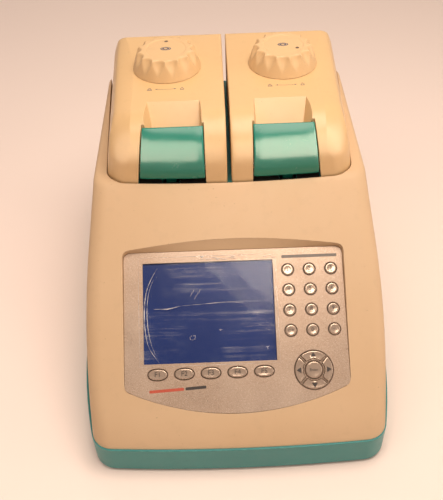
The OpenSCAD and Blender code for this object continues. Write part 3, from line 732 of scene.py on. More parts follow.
def build_housing():
    body = housing_loft("housing")
    for side in (-1, 1):
        slots = []
        for i in range(VENTS):
            y = FRONT + VENT_FROM + i * VENT_PITCH
            z = TRAY_TOP + 6 + i
            out = rounded([(y, z, 1), (y + VENT_W, z, 1), (y + VENT_W, z + VENT_H, 1),
                           (y, z + VENT_H, 1)], 1.1, 3)
            x0 = side * (HALF_W - 8)
            slots.append(slab("slot", out, x0 - 12, x0 + 12, place=across))
        carve(body, join(slots[0], slots[1:]))
    core = housing_loft("core", WALL, TRAY_TOP - 6)
    frame_lo, frame_hi = box_mm("rear_panel")
    carve(core, brick("rear_frame", (frame_lo.x - 4, frame_hi.y, frame_lo.z - 4),
                      (frame_hi.x + 4, REAR + 10, frame_hi.z + 4)))
    carve(core, slab("panel_block", panel_outline(4, 4), -8, 20, place=on_panel))
    carve(core, slab("deck_block", lids_outline(6, 60), RIM - 14, RIM + 60))
    carve(body, core)
    carve(body, pocket("pocket"))
    carve(body, slab("panel_hole", panel_outline(-5), -22, 0, place=on_panel))
    carve(body, slab("lid_pocket", lids_outline(1.5, 60), RIM - 9, RIM + 60))
    inner = [(x, min(y, LID_REAR - 8)) for x, y in lids_outline(-8)]
    carve(body, slab("deck_hole", inner, TRAY_TOP + 40, RIM + 5))
    carve(body, brick("rear_hole", (frame_lo.x + 5, frame_hi.y - 30, frame_lo.z + 4),
                      (frame_hi.x - 5, REAR + 20, frame_hi.z - 4)))
    shade(paint(body, HOUSING), 24)
    settle(body, "chassis", "main_housing")


build_housing()


# ---------------------------------------------------------------- lids

ROLL = 40.0
ROLL_Y = LID_FRONT + ROLL
ROLL_Z = LID_TOP - ROLL
LID_DRAFT = 15.6
SIDE_STEPS = (0, 0.12, 0.35, 0.7, 1.2, 1.9, 2.8, 4, 5.5, 7.5, 10, 13, 16.5, 20.5)


def lid_depth(y, z):
    """Depth of a place below the lid's front, rolled edge and top."""
    if z < ROLL_Z:
        return y - LID_FRONT
    if y < ROLL_Y:
        return ROLL - math.hypot(y - ROLL_Y, z - ROLL_Z)
    return LID_TOP - z


# where the crease starts at the front, how far out it runs to the rear and where it bends
CREASE_X, CREASE_RUN, CREASE_FROM = 88.5, 16.5, 12


def crease_x(y):
    """Where the flat top of the right lid ends in a crease."""
    span = LID_REAR - LID_FRONT - CREASE_FROM
    return CREASE_X + CREASE_RUN * (max(0.0, y - LID_FRONT - CREASE_FROM) / span) ** 3


def lid_side(y, z):
    """Outer side of the right lid at a place: drafted, rolling over into a faint crease."""
    t = min(1.0, (z - LID_LOW) / (LID_TOP - LID_LOW))
    d = (y - LID_FRONT) / (LID_REAR - LID_FRONT)
    side = lerp(LID_OUT - LID_TAPER, LID_OUT, d) - LID_DRAFT * (0.5 * t + 0.15 * t ** 2 + 0.35 * t ** 6)
    low = smoothstep((ROLL_Z + 24 - z) / 24)
    edge = lerp(crease_x(y), side - 20, low)
    turn = min(1.0, max(0.0, 1.3 * (ROLL_Y - y) / ROLL))
    u = min(1.0, max(0.0, lid_depth(y, z)) / lerp(5.0, 20.0, turn))
    sharp = 0.34 * smoothstep((z - ROLL_Z - 4) / 24)
    lo, hi = 0.0, 1.0
    for _ in range(18):
        m = (lo + hi) / 2
        fall = sharp * m + (1 - sharp) * (1 - math.sqrt(1 - m * m))
        lo, hi = (m, hi) if fall < u else (lo, m)
    return lerp(edge, side, lo)


def lid_levels():
    levels = [(LID_LOW + (ROLL_Z - LID_LOW) * i / 4, LID_FRONT) for i in range(4)]
    for a in list(range(0, 72, 4)) + [72, 75, 78, 81, 84, 86, 88, 90]:
        r = math.radians(a)
        levels.append((ROLL_Z + ROLL * math.sin(r), ROLL_Y - ROLL * math.cos(r)))
    return levels


def lid_ring(z, f, inset=0.0):
    top = LID_TOP
    down = top - z

    def rounding(r):
        return r - math.sqrt(max(0.0, r * r - (r - down) ** 2)) if down < r else 0

    rear = LID_REAR - inset - rounding(7.0)
    inner = LID_IN + inset + rounding(1.6)
    bow = BOW * min(1.0, (top - z) / 40)
    f = f + inset

    def side(along):
        return lid_side(f - inset + along, z) - inset

    w = side(0)
    pts = []
    ci = 2.0
    pts += arc(inner + ci, f + ci, ci, 180, 4, 0)
    for i in range(1, 25):
        x = lerp(inner + ci, w, i / 24)
        pts.append((x, f + bow * (x / BOW_SPAN) ** 2))
    lag = pts[-1][1] - f
    y1 = rear - 3
    steps = list(SIDE_STEPS) + [lerp(SIDE_STEPS[-1], y1 - f, i / 20) for i in range(1, 21)]
    for along in steps[1:]:
        pts.append((side(along), f + along + lag * max(0.0, 1 - along / 60)))
    x1 = pts[-1][0]
    pts += arc(x1 - 3, y1, 3, 0, 4)
    for i in range(1, 9):
        pts.append((lerp(x1 - 3, inner, i / 8), rear))
    for i in range(1, 12):
        pts.append((inner, lerp(rear, f + ci, i / 12)))
    return pts


def lid_loft(name, inset=0.0, low=None):
    rings = []
    for z, f in lid_levels():
        zz = z if inset == 0 else LID_LOW + (z - LID_LOW) * (LID_TOP - inset - LID_LOW) / (LID_TOP - LID_LOW)
        rings.append([(x, y, zz) for x, y in lid_ring(z, f, inset)])
    if low is not None:
        rings[0] = [(x, y, low) for x, y, z in rings[0]]
    return loft(name, rings)


# right handle: its straight side, its outer side at the top and at the lower edge, and its hook
HX0, HX1, HXB = 22.6, 77.0, 83.5
HOOK_X, HOOK_W = 50, 10


def grip_cutter(name):
    """Finger recess: a sloping floor between leaning walls, running in under the handle."""
    f = LID_FRONT
    t = LID_TOP
    # rear and front end: place, height of the floor, its two sides and the sides above the lid
    ends = ((f + 52, t + 0.92, 25.4, 74.2, 24.4, 75.6), (f + 10, t - 37.7, 27.4, 65.0, 21.5, 82.0))
    rings = []
    for y, z, a0, a1, b0, b1 in ends:
        rings.append([(a0, y, z), (a1, y, z), (b1, y, t + 6), (b0, y, t + 6)])
    return loft(name, rings)


def handle_space(name):
    f = LID_FRONT
    gap = 0.8
    low, high = LID_LOW - 9, LID_TOP + 20
    outline = [(f - 20, low), (f + 21, low), (f + 21, high), (f - 20, high)]
    lean = (HXB - HX1) / (LID_TOP - LID_LOW - 9)
    rings = [[(HX0 - gap, y, z) for y, z in outline],
             [(HXB + gap - lean * (z - LID_LOW - 9), y, z) for y, z in outline]]
    return loft(name, rings)


def disc_outline(x, y, r, n=48):
    return [(x + r * math.cos(TAU * i / n), y + r * math.sin(TAU * i / n)) for i in range(n)]


def widened(cutter, side, back, down):
    """A cutter grown sideways, back and down, so that a wall is left round what it clears."""
    for v in cutter.data.vertices:
        v.co.x += (side if v.co.x > 0.05 else -side) * MM
        v.co.y += back * MM
        v.co.z -= down * MM
    return cutter


HINGE_X = (20.0, 90.0)


def build_lid():
    shell = lid_loft("lid_cover_right")
    core = lid_loft("lid_core", WALL, LID_LOW - 2)
    carve(core, slab("boss", disc_outline(KNOB_X, KNOB_Y, 10), LID_TOP - 12, LID_TOP + 2))
    carve(core, widened(grip_cutter("grip_block"), 2.5, 2.5, 2.5))
    carve(core, widened(handle_space("handle_block"), 2.5, 2.0, 0.0))
    carve(shell, core)
    carve(shell, grip_cutter("grip"))
    carve(shell, handle_space("handle_gap"))
    carve(shell, slab("bore", disc_outline(KNOB_X, KNOB_Y, 6.4), LID_TOP - 14, LID_TOP + 4))
    lo, hi = box_mm("hinge_pins")
    y0, z0 = centre_mm("hinge_pins").y, (lo.z + hi.z) / 2
    reach, swing_r = 40, 17.8
    swing = [(y0 - 0.01, z0 - reach), (y0 + reach, z0 - reach), (y0 + reach, z0 - 1)]
    for i in range(9):
        a = math.radians(-3 - 87 * i / 8)
        swing.append((y0 + swing_r * math.cos(a), z0 + swing_r * math.sin(a)))
    carve(shell, slab("rear_clear", swing, -5, 160, place=across))
    notch_top = box_mm("hinge_brackets")[1].z + 3
    for x in HINGE_X:
        carve(shell, brick("notch", (x - 1, LID_REAR - WALL - 2, LID_LOW - 1),
                           (x + 7, LID_REAR + 4, notch_top)))
    shade(paint(shell, LID), 24)
    spots = [v.co / MM for v in shell.data.vertices]
    on_crease = [abs(p.x - crease_x(p.y)) < 0.06 and p.z > ROLL_Z + 12 for p in spots]
    for e in shell.data.edges:
        if on_crease[e.vertices[0]] and on_crease[e.vertices[1]]:
            e.use_edge_sharp = True
    return shell


right_cover = build_lid()
left_cover = mirrored(right_cover, "lid_cover_left")


# ---------------------------------------------------------------- handles

def build_handle():
    out_r, in_r = ROLL + 1.5, ROLL - 3.0
    low_a = math.asin((LID_LOW + 5 - ROLL_Z) / out_r)
    top_a = math.radians(56)
    nx, na = 28, 30

    def point(i, j, r):
        a = lerp(low_a, top_a, j / na)
        z = ROLL_Z + r * math.sin(a)
        x1 = HXB - (HXB - HX1) * (z - LID_LOW - 5) / (LID_TOP - LID_LOW - 5)
        x = lerp(HX0, x1, i / nx)
        edge = min(i / nx, 1 - i / nx)
        low = max(0.0, 1 - j / na)
        y = ROLL_Y - r * math.cos(a) + BOW * low ** 2 * (x / BOW_SPAN) ** 2
        crown = 0.5 * smoothstep(edge * 8)
        return (x, y + (0.5 - crown if r == out_r else 0), z)

    verts, faces = [], []
    for r in (out_r, in_r):
        for i in range(nx + 1):
            for j in range(na + 1):
                verts.append(point(i, j, r))
    n = (nx + 1) * (na + 1)

    def vid(i, j, s):
        return s * n + i * (na + 1) + j

    for i in range(nx):
        for j in range(na):
            faces.append((vid(i, j, 0), vid(i + 1, j, 0), vid(i + 1, j + 1, 0), vid(i, j + 1, 0)))
            faces.append((vid(i, j, 1), vid(i, j + 1, 1), vid(i + 1, j + 1, 1), vid(i + 1, j, 1)))
    for i in range(nx):
        for j in (0, na):
            faces.append((vid(i, j, 0), vid(i, j, 1), vid(i + 1, j, 1), vid(i + 1, j, 0)))
    for j in range(na):
        for i in (0, nx):
            faces.append((vid(i, j, 0), vid(i, j + 1, 0), vid(i, j + 1, 1), vid(i, j, 1)))
    plate = make("handle_right", verts, faces, [HANDLE], 40)
    bevel(plate, 0.9, 3, 50)
    evaluated(plate)
    shade(plate, 40)
    axis_y, axis_z = LID_FRONT + 12, LID_LOW + 13
    parts = []
    for x, w in ((HX0 + 1, 5), (HX1 - 6, 5), (HOOK_X, HOOK_W)):
        parts.append(bevel(brick("lug", (x, LID_FRONT + 2.5, axis_z - 4),
                                 (x + w, LID_FRONT + 15.5, axis_z + 4), [HANDLE]), 0.8))
    lo, hi = box_mm("lid_handle_right")
    hook = brick("hook", (HOOK_X, axis_y - 2, lo.z), (HOOK_X + HOOK_W, axis_y + 2, axis_z), [HANDLE])
    parts.append(bevel(hook, 0.8))
    shaft = slab("shaft", disc_outline(axis_y, axis_z, 2.5, 32), lo.x, hi.x, place=across, mats=[BRIGHT])
    parts.append(bevel(shaft, 0.3, 2))
    for p in parts:
        evaluated(p)
        shade(p, 35)
    return join(plate, parts)


right_handle = build_handle()
left_handle = mirrored(right_handle, "handle_left")


# ---------------------------------------------------------------- knobs

def build_knob(side, turn, name):
    """Scalloped cap: cone with finger flutes, soft rim, sunken ring and slightly domed face."""
    h = KNOB_TOP - KNOB_LOW
    draft = 6
    top_r = KNOB_R - draft
    n = 336
    flutes = 14

    def radius(a, k):
        r = KNOB_R - draft * k
        c = lerp(KNOB_R + 1.4, top_r + 3.6, k)
        rho = 0.8 + 6.4 * smoothstep((k - 0.1) / 0.9)
        pitch = TAU / flutes
        d = (a + pitch / 2) % pitch - pitch / 2
        s = abs(c * math.sin(d))
        if s < rho:
            cut = c * math.cos(d) - math.sqrt(rho * rho - s * s)
            m = min(r, cut)
            blend = math.exp(-((r - cut) / 0.7) ** 2) * 0.25
            r = m - blend if k > 0.15 else lerp(r, m, max(0.0, (k - 0.05) / 0.1))
        return r

    offset = math.pi / flutes + math.pi / 2
    turns = [TAU * j / n for j in range(n)]

    def ring(radii, z):
        return [(r * math.cos(a + offset), r * math.sin(a + offset), z) for r, a in zip(radii, turns)]

    rings = []
    profile = [(0, 0.0), (0.04, 0.0)] + [(k / 14, 0.0) for k in range(1, 13)]
    fil = 1.6
    for i in range(6):
        a = math.radians(18 * i)
        profile.append((1 - fil / h * (1 - math.sin(a)), fil * (1 - math.cos(a))))
    for k, draw in profile:
        rings.append(ring([radius(a, min(k, 0.98)) - draw for a in turns], h * k))
    edge = [math.hypot(x, y) for x, y, z in rings[-1]]
    for share, drop in ((0.5, 0.02), (1.0, 0.0)):
        rings.append(ring([lerp(r, 21.0, share) for r in edge], h - drop))
    for r, drop in ((20.4, 0.0), (20.0, 0.25), (19.4, 0.55), (18.8, 0.5), (18.0, 0.45), (12.0, 0.3),
                    (6.0, 0.2), (1.0, 0.18)):
        rings.append(ring([r] * n, h - drop))
    cap = loft(name, rings, [KNOB], 32)
    dot = slab("dot", disc_outline(0, 15.4, 1.7, 24), h - 0.4, h - 0.12, mats=[INK_BROWN])
    rim = slab("dot_rim", disc_outline(0, 15.4, 2.3, 24), h - 0.5, h - 0.22, mats=[KNOB])
    spin = Matrix.Rotation(math.radians(turn), 4, "Z")
    join(cap, [rim, dot])
    cap.data.transform(spin)
    oval = []
    for s, z, m in ((1.0, 0.14, INK_BLUE), (0.80, 0.10, KNOB), (0.68, 0.06, INK_BLUE), (0.34, 0.03, KNOB)):
        pts = [(5.2 * s * math.cos(TAU * i / 40), 3.3 * s * math.sin(TAU * i / 40)) for i in range(40)]
        oval.append(slab("badge", pts, h - 0.5, h - z, mats=[m]))
    join(cap, oval)
    cap.data.transform(Matrix.Translation(Vector((side * KNOB_X, KNOB_Y, KNOB_LOW)) * MM))
    return cap


knob_left = build_knob(-1, 0, "knob_cap_left")
knob_right = build_knob(1, -120, "knob_cap_right")


# ---------------------------------------------------------------- printing on the lids

def lid_print(side):
    """Two small loaded-spring pictograms joined by a curved double arrow, printed on a lid."""
    y = KNOB_Y - 43.5
    cx = side * KNOB_X
    z0, z1 = LID_TOP - 0.02, LID_TOP + 0.05
    parts = []
    for s in (-1, 1):
        x = cx + s * 15.5
        k = 1.0 if s < 0 else 0.8
        for row, (w, h) in enumerate(((2.2 * k, 0.8), (3.6 * k, 0.7), (4.8 * k, 0.8))):
            yy = y + 1.6 - row * 1.7
            for dx in ((-1, 1) if row == 1 else (0,)):
                x0, x1 = x + dx * 1.2 - w / (4 if dx else 2), x + dx * 1.2 + w / (4 if dx else 2)
                parts.append(brick("mark", (x0, yy - h / 2, z0), (x1, yy + h / 2, z1), [INK_BLUE]))
    line = []
    for i in range(13):
        t = -1 + i / 6
        line.append((cx + 8.4 * t, y - 0.7 + 0.5 * t * t))
    up = [(x, yy + 0.16) for x, yy in line]
    dn = [(x, yy - 0.16) for x, yy in reversed(line)]
    parts.append(slab("arrow_line", dn[::-1] + up[::-1], z0, z1, mats=[INK_BLUE]))
    for s in (-1, 1):
        tip = cx + s * 10.2
        out = [(tip, y - 0.1), (tip - s * 2.2, y + 0.75), (tip - s * 2.2, y - 1.0)]
        parts.append(slab("arrow_head", out, z0, z1, mats=[INK_BLUE]))
    return merge("lid_print_left" if side < 0 else "lid_print_right", parts)


for side, name, cover, handle, knob in ((-1, "left", left_cover, left_handle, knob_left),
                                        (1, "right", right_cover, right_handle, knob_right)):
    settle(cover, "lid_" + name, "lid_shell_" + name)
    settle(handle, "handle_" + name, "lid_handle_" + name)
    settle(knob, "knob_" + name, "lid_knob_" + name)
    settle(lid_print(side), "lid_" + name)


# ---------------------------------------------------------------- keys

def key_mesh(name, outline, centre, dome=0.9, bottom=-5.0, mats=(KEY,)):
    """A film key: straight stem, soft shoulder and shallow finger dish, over a closed outline."""
    n = len(outline)
    c = Vector((sum(p[0] for p in outline) / n, sum(p[1] for p in outline) / n))
    rings = []
    for shrink, w in ((0.0, bottom), (0.0, -0.3), (0.0, 0.18), (0.22, 0.52), (0.6, dome), (1.1, dome + 0.1),
                      (1.8, dome + 0.04)):
        ring = []
        for x, y in outline:
            p = Vector((x, y))
            d = p - c
            q = p - d.normalized() * min(shrink, d.length * 0.6)
            ring.append(tuple(on_panel(centre[0] + q.x, centre[1] + q.y, w)))
        rings.append(ring)
    inner = []
    for x, y in outline:
        p = c + (Vector((x, y)) - c) * 0.35
        inner.append(tuple(on_panel(centre[0] + p.x, centre[1] + p.y, dome - 0.12)))
    rings.append(inner)
    return loft(name, rings, mats, 50)


def ring_print(outline_out, outline_in, centre, w=0.03):
    rings = []
    for out, ww in ((outline_in, -0.1), (outline_in, w), (outline_out, w), (outline_out, -0.1)):
        rings.append([tuple(on_panel(centre[0] + x, centre[1] + y, ww)) for x, y in out])
    return loft("ring", rings, [INK_BROWN], 40, caps=False)


def oval(w, h, grow=0.0, n=48):
    """Slightly squared ellipse round the origin."""
    pts = []
    for i in range(n):
        c, d = math.cos(TAU * i / n), math.sin(TAU * i / n)
        pts.append(((w / 2 + grow) * math.copysign(abs(c) ** 0.9, c),
                    (h / 2 + grow) * math.copysign(abs(d) ** 0.9, d)))
    return pts


def sector(turn, r0, r1, spoke, n=14):
    """Ring quarter between two spokes, as a closed outline round the origin."""
    pts = []
    for r, order in ((r1, 1), (r0, -1)):
        half = math.pi / 4 - math.asin(spoke / 2 / r)
        arc = [(-half + 2 * half * i / n) * order for i in range(n + 1)]
        pts += [(r * math.cos(a + turn), r * math.sin(a + turn)) for a in arc]
    return pts


def panel_place(cu, cv, w):
    return lambda x, y, z: on_panel(cu + x, cv + y, w + z)


def to_panel(node):
    d = centre_mm(node) - PANEL_O
    return d.dot(U_AXIS) + LCD_C.x, d.dot(V_AXIS) + LCD_C.y


def legend(body, size, centre, up=0.0, w=0.94):
    return text_mesh("legend", body, size, panel_place(centre[0], centre[1] + up, w), [INK_DARK], 0.1)


LETTERS = {"key_2": "abc", "key_3": "def", "key_4": "ghi", "key_5": "jkl", "key_6": "mno", "key_7": "pqrs",
           "key_8": "tuv", "key_9": "wxyz"}
RING_IN, RING_OUT = 0.42, 0.95
panel_prints = []
number_keys = ["key_%d" % i for i in range(1, 10)] + ["key_clear", "key_0", "key_sign"]
for node in number_keys:
    c = to_panel(node)
    r = (box_mm(node)[1].x - box_mm(node)[0].x) / 2
    key = key_mesh(node + "_cap", disc_outline(0, 0, r - 0.02, 48), c)
    body = {"key_clear": "CLR", "key_sign": "+/-"}.get(node, node[-1])
    words = [legend(body, 5.2 if len(body) == 1 else 3.0, c, 0.55 if node in LETTERS else 0.0)]
    if node in LETTERS:
        words.append(legend(LETTERS[node], 1.9, c, -2.4, 0.96))
    join(key, words)
    settle(key, node, node)
    rings = [disc_outline(0, 0, r + grow, 48) for grow in (RING_OUT, RING_IN)]
    panel_prints.append(ring_print(*rings, c))
F_W, F_H, SLIT = 17.0, 9.6, 0.02
for i in range(5):
    node = "key_f%d" % (i + 1)
    c = to_panel(node)
    key = key_mesh(node + "_cap", oval(F_W - 2 * SLIT, F_H - 2 * SLIT), c)
    join(key, [legend("F%d" % (i + 1), 6.2, c)])
    settle(key, node, node)
    panel_prints.append(ring_print(oval(F_W, F_H, RING_OUT), oval(F_W, F_H, RING_IN), c))
hub = to_panel("key_enter")
NAV_OUT, NAV_IN, SPOKE, ENTER_R, ARROW_R = 17.0, 9.8, 2.0, 7.6, 13.3
for node, turn in (("key_right", 0), ("key_up", 90), ("key_left", 180), ("key_down", 270)):
    a = math.radians(turn)
    key = key_mesh(node + "_cap", sector(a, NAV_IN + SLIT, NAV_OUT - SLIT, SPOKE + 2 * SLIT), hub)
    u, v = hub[0] + ARROW_R * math.cos(a), hub[1] + ARROW_R * math.sin(a)
    tri = turned([(2.5, 0), (-1.7, 2.5), (-1.7, -2.5)], a)
    arrow = slab("arrow", tri, 0.5, 1.06, place=panel_place(u, v, 0.0), mats=[INK_DARK])
    join(key, [arrow])
    settle(key, node, node)
key = key_mesh("key_enter_cap", disc_outline(0, 0, ENTER_R - SLIT, 56), hub)
join(key, [legend("Enter", 3.6, hub)])
settle(key, "key_enter", "key_enter")
for out, inside, n in ((NAV_OUT + 1.0, NAV_OUT + 0.42, 72), (NAV_IN - 0.9, ENTER_R + 0.45, 56)):
    panel_prints.append(ring_print(disc_outline(0, 0, out, n), disc_outline(0, 0, inside, n), hub))
for turn in (45, 135, 225, 315):
    a = math.radians(turn)
    line = turned([(NAV_IN, -0.3), (NAV_OUT + 0.6, -0.3), (NAV_OUT + 0.6, 0.3), (NAV_IN, 0.3)], a)
    panel_prints.append(slab("spoke", line, -0.1, 0.03, place=panel_place(hub[0], hub[1], 0),
                             mats=[INK_BROWN]))

# plain bars stand where a maker's lettering would be: ends, height of each end and thickness
for x0, x1, y0, y1, thick, mat in ((-78.9, -48, -70.6, -69.0, 2.6, INK_RED),
                                   (-46.6, -28, -68.9, -67.8, 2.6, INK_DARK),
                                   (45, 96, 47.8, 47.8, 2.8, INK_GREY)):
    corners = [(x0, y0, 1), (x1, y1, 1), (x1, y1 + thick, 1), (x0, y0 + thick, 1)]
    panel_prints.append(slab("bar", rounded(corners, 0.8, 3), -0.1, 0.04, place=panel_place(0, 0, 0),
                             mats=[mat]))
settle(merge("panel_printing", panel_prints), "chassis")


# ---------------------------------------------------------------- display cover sheet

# air bubbles under the sheet: place on the panel, radius and height
BUBBLES = ((-14.1, -17.5, 1.5, 0.6), (28.0, -36.5, 3.0, 0.5), (-39.0, -22.5, 2.6, 0.35))


def build_sheet():
    """Protective sheet stuck over the display: slightly loose, with lifted, crinkled upper edge."""
    u0, u1, v0, v1 = -87.6, 39.6, -47.5, 52.6
    nx, ny = 110, 90
    verts = []
    for j in range(ny + 1):
        for i in range(nx + 1):
            u, v = lerp(u0, u1, i / nx), lerp(v0, v1, j / ny)
            w = 0.22 + 0.05 * math.sin(u * 0.21 + 1.3) * math.sin(v * 0.17)
            arc = -82.0 + 0.0065 * (v + 1.5) ** 2
            w += 0.45 * math.exp(-((u - arc) / 0.7) ** 2) + 0.35 * math.exp(-((u - arc - 2.6) / 0.6) ** 2)
            crown = smoothstep((v - 48.2) / 2.2) * smoothstep((u + 40) / 12)
            w += crown * (0.5 + 0.45 * math.sin(u * 0.9 + 0.8 * math.sin(u * 0.31)))
            side = smoothstep((u - 36.6) / 1.6)
            w += side * (0.35 + 0.2 * math.sin(v * 0.23))
            scar = 4.6 + 0.035 * (u + 70) * (1 if u > -60 else 0.3)
            if -74 < u < 8:
                w += 0.16 * math.exp(-((v - scar) / 0.7) ** 2) * (1 if u < -48 else 0.45)
            for bu, bv, br, bh in BUBBLES:
                w += bh * math.exp(-((u - bu) ** 2 + (v - bv) ** 2) / br ** 2)
            verts.append(tuple(on_panel(u, v, w)))
    faces = []
    for j in range(ny):
        for i in range(nx):
            a = j * (nx + 1) + i
            faces.append((a, a + 1, a + nx + 2, a + nx + 1))
    ob = make("display_cover", verts, faces, [FILM], 80, fix=False)
    return ob


def streak(points, width, lift=0.34):
    """A thin raised scar in the cover sheet along a line, tapered at both ends, in a pale colour that is
    partly painted glint.
    """
    left, right = [], []
    n = len(points)
    for i, (u, v) in enumerate(points):
        a = Vector(points[max(0, i - 1)])
        b = Vector(points[min(n - 1, i + 1)])
        d = (b - a).normalized()
        t = i / (n - 1)
        h = width * (0.25 + 0.75 * math.sin(math.pi * min(1, max(0, t)))) / 2
        left.append((u - d.y * h, v + d.x * h))
        right.append((u + d.y * h, v - d.x * h))
    verts, faces = [], []
    for (lu, lv), (mu, mv), (ru, rv) in zip(left, points, right):
        verts += [tuple(on_panel(lu, lv, lift)), tuple(on_panel(mu, mv, lift + width * 0.45)),
                  tuple(on_panel(ru, rv, lift))]
    for i in range(n - 1):
        for k in (0, 1):
            a = i * 3 + k
            faces.append((a, a + 1, a + 4, a + 3))
    return make("streak", verts, faces, [CREASE_AND_GLINT], 80, fix=False)


def bend(points, n=24):
    """Smooth line through a few points."""
    out = []
    pts = [Vector(p) for p in points]
    pts = [pts[0]] + pts + [pts[-1]]
    for s in range(1, len(pts) - 2):
        p0, p1, p2, p3 = pts[s - 1:s + 3]
        for i in range(n // (len(points) - 1) + 1):
            t = i / (n // (len(points) - 1) + 1)
            q = 0.5 * ((2 * p1) + (p2 - p0) * t + (2 * p0 - 5 * p1 + 4 * p2 - p3) * t * t
                       + (3 * p1 - p0 - 3 * p2 + p3) * t ** 3)
            out.append((q.x, q.y))
    out.append(tuple(pts[-1]))
    return out


sheet = build_sheet()
sheet.visible_shadow = False
settle(sheet, "chassis", "display_window")
# two long curved creases at the left, then the crease across the middle and its fainter end; these and the
# marks below are raised and drawn in a pale colour that is partly painted glint
LONG_SCARS = (
    (((-69.6, 42.5), (-75.8, 32), (-80.4, 20), (-82.4, 3), (-81.8, -15), (-78.6, -30), (-69.8, -43.6)),
     48, 0.85, 0.62),
    (((-73.5, 32), (-78.0, 20), (-79.9, 4), (-79.3, -12), (-76.8, -26), (-73.0, -36.5)), 40, 0.6, 0.55),
    (((-73.8, 4.7), (-61.2, 4.4), (-49.7, 6.7)), 20, 0.9, 0.40),
    (((-49.7, 6.7), (-31.4, 7.7), (-8.6, 8.9), (7.4, 8.5)), 24, 0.4, 0.35),
)
scars_and_glints = [streak(bend(points, n), width, lift) for points, n, width, lift in LONG_SCARS]
for i in range(5):
    u, v = -40 + 1.9 * i, 17 + 3 * math.sin(i * 2.1)
    scars_and_glints.append(streak(bend([(u, v - 2.2), (u + 0.7, v), (u + 1.6, v + 2.4)], 8), 0.28, 0.33))
for i in range(7):
    a = i * 0.9
    u, v = -39 + 2.6 * math.cos(a), -22.5 + 2.0 * math.sin(a)
    scars_and_glints.append(streak(bend([(u, v), (u + 1.4 * math.cos(a + 2), v + 1.4 * math.sin(a + 2))], 5), 0.4, 0.42))
# pale lines along the sheet's edges: painted glint where light catches the edges
for a, b in (((-87.4, -47), (-87.4, 52)), ((39.4, -47), (39.4, 52)), ((36.9, -44), (36.9, 47)),
             ((-87, 52.4), (39, 52.4)), ((-87, -47.3), (39, -47.3))):
    scars_and_glints.append(streak([(lerp(a[0], b[0], i / 8), lerp(a[1], b[1], i / 8)) for i in range(9)], 0.42, 0.30))
# small pale crinkles along the lifted upper edge: painted glints
for i in range(26):
    u, v = rng.uniform(-34, 37), rng.uniform(48.9, 51.8)
    long, tilt = rng.uniform(1.2, 4.2), rng.uniform(-0.9, 0.9)
    scars_and_glints.append(streak(bend([(u, v), (u + long / 2, v + tilt / 2), (u + long, v + tilt)], 6),
                        rng.uniform(0.5, 1.3), 0.75))
# all these marks joined in one piece; their pale colour is partly painted glint
creases_and_glints = merge("cover_creases", scars_and_glints)
settle(creases_and_glints, "chassis")


# ---------------------------------------------------------------- CAD nodes that stay

def dress(node, mat, width=0.0, segments=2):
    """Gives a CAD node its finish, with its edges rounded by modifiers."""
    ob = frame["nodes"][node]
    paint(ob, mat)
    if "custom_normal" in ob.data.attributes:
        ob.data.attributes.remove(ob.data.attributes["custom_normal"])
    weld = ob.modifiers.new("weld", "WELD")
    weld.merge_threshold = 0.00002
    if width:
        bevel(ob, width, segments, 30)
    ob.data.polygons.foreach_set("use_smooth", [True] * len(ob.data.polygons))
    wn = ob.modifiers.new("normals", "WEIGHTED_NORMAL")
    wn.keep_sharp = True
    return ob


dress("base_tray", TRAY, 1.4, 3)
PLAIN = (
    (RUBBER, 0.8, "rubber_feet"),
    (RUBBER, 0.4, "block_gaskets"),
    (TRAY, 0.5, "deck_plate"),
    (PANEL, 0.3, "control_panel"),
    (LCD, 0.3, "display_module"),
    (CIRCUIT, 0.2, "keypad_board main_board"),
    (CERAMIC, 0.3, "peltier_modules"),
    (ALUMINIUM, 0.3, "heatsinks"),
    (BLACK, 0.4, "fan_frames"),
    (BLACK, 0.3, "fan_rotor_left fan_rotor_right"),
    (BLACK, 0.5, "power_inlet power_switch"),
    (SHEET, 0.3, "power_supply rear_panel latch_catches"),
    (SHEET, 0.4, "hinge_brackets lid_frame_left lid_frame_right"),
    (BRIGHT, 0.4, "data_ports"),
    (BRIGHT, 0.3, "hinge_pins housing_screws knob_spindle_left knob_spindle_right"),
    (BLOCK, 0.4, "sample_block_left sample_block_right"),
    (BLOCK, 0.5, "heated_plate_left heated_plate_right"),
)
for finish, rounding, nodes in PLAIN:
    for node in nodes.split():
        dress(node, finish, rounding)

# black strips on the surround, under the lower edge of each handle and beside its hook: painted shade, a dark
# piece where the gap under each handle lies in shadow
shade_strips = []
ends = (HX0 - 0.6, HXB + 1.2)
hook_room = 3.5
for side in (-1, 1):
    for a, b, y0, y1 in ((ends[0], ends[1], -1.2, 5.4), (ends[0], HOOK_X - hook_room, 5.4, 13),
                         (HOOK_X + HOOK_W + hook_room, ends[1], 5.4, 13)):
        x0, x1 = sorted((side * a, side * b))
        shade_strips.append(brick("strip", (x0, LID_FRONT + y0, DECK), (x1, LID_FRONT + y1, DECK + 0.5), [BLACK]))
settle(merge("deck_strips", shade_strips), "chassis")


# ---------------------------------------------------------------- stage, light and camera

def build_floor():
    me = bpy.data.meshes.new("floor")
    s = 6.0
    me.from_pydata([(-s, -s, 0), (s, -s, 0), (s, s, 0), (-s, s, 0)], [], [(0, 1, 2, 3)])
    ob = bpy.data.objects.new("floor", me)
    scene.collection.objects.link(ob)
    m = Mat("floor_paper", (0.92, 0.78, 0.70), 0.7, spec=0.1)
    m.tint(m.remap(m.noise(1.2, 3), 0.35, 0.7), (0.88, 0.73, 0.64), 0.4)
    m.bump(m.noise(900, 3), 0.02, 0.3)
    me.materials.append(m.m)
    return ob


floor = build_floor()


def lamp(name, where, at, size, power, colour, roll=0.0):
    li = bpy.data.lights.new(name, "AREA")
    li.shape = "RECTANGLE"
    li.size, li.size_y = size
    li.energy = power
    li.color = colour
    ob = bpy.data.objects.new(name, li)
    scene.collection.objects.link(ob)
    ob.location = where
    look = (Vector(at) - Vector(where)).to_track_quat("-Z", "Y")
    ob.rotation_mode = "QUATERNION"
    ob.rotation_quaternion = look @ Matrix.Rotation(math.radians(roll), 4, "Z").to_quaternion()
    ob.visible_camera = False
    return ob


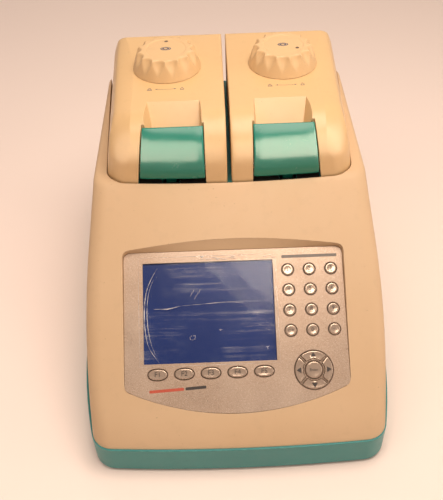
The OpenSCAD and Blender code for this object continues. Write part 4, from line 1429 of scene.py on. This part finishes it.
WARM = (1.0, 0.86, 0.74)
lamp("overhead", (0.16, -0.16, 1.08), (0, 0, 0.15), (0.75, 0.6), 9.4, WARM)
lamp("back_fill", (-0.3, 1.5, 1.6), (0, 0, 0.15), (1.4, 0.9), 2.5, WARM)
lamp("side_fill", (1.9, -0.5, 0.9), (0, 0, 0.1), (1.2, 1.0), 7, (1.0, 0.9, 0.82))


def only_on(lamp_ob, lit):
    """Lets a lamp reach only the objects it is meant for."""
    group = bpy.data.collections.new(lamp_ob.name + "_lit")
    for target in lit:
        group.objects.link(target)
    lamp_ob.light_linking.receiver_collection = group


only_on(lamp("floor_wash", (-1.0, -0.7, 1.5), (-0.5, -0.1, 0), (1.2, 0.8), 7.5, (1.0, 0.87, 0.80)), [floor])


def gloss_card(name, where, at, size, power, colour, roll, lit):
    """A soft card that only shows as a sheen."""
    ob = lamp(name, where, at, size, power, colour, roll)
    ob.visible_diffuse = False
    only_on(ob, lit)


for s, cover, handle, power in ((-1, left_cover, left_handle, 34), (1, right_cover, right_handle, 46)):
    tag = "l" if s < 0 else "r"
    for what, ob, share in (("handle", handle, 1.0), ("lid", cover, 0.42)):
        gloss_card("card_%s_%s" % (what, tag), (s * 0.42, -0.52, 0.42), (s * 0.06, 0.0, 0.30),
                   (1.30, 0.84), power * share, (1.0, 0.82, 0.64), s * 9, [ob])
keys = [ob for ob in bpy.data.objects if ob.name.startswith("key_") and ob.name.endswith("_cap")]
gloss_card("key_glint", (0.0, 0.55, 0.62), (0.07, -0.1, 0.13), (0.30, 0.10), 9, (1.0, 0.93, 0.84),
           0, keys + [creases_and_glints])

world = bpy.data.worlds.new("studio")
world.use_nodes = True
bg = world.node_tree.nodes["Background"]
bg.inputs["Color"].default_value = (1.0, 0.84, 0.75, 1)
bg.inputs["Strength"].default_value = 0.40
scene.world = world

cam_data = bpy.data.cameras.new("camera")
cam = bpy.data.objects.new("camera", cam_data)
scene.collection.objects.link(cam)
cam_data.sensor_fit = "VERTICAL"
cam_data.sensor_height = 24.0
cam_data.lens = 33.6
cam.location = (-0.010, -0.531, 0.587)
pitch, roll = math.radians(90 - 43.1), math.radians(-2.1)
cam.rotation_mode = "QUATERNION"
cam.rotation_quaternion = (Matrix.Rotation(pitch, 4, "X") @ Matrix.Rotation(roll, 4, "Z")).to_quaternion()
scene.camera = cam
scene.view_settings.view_transform = "Standard"
scene.view_settings.look = "None"
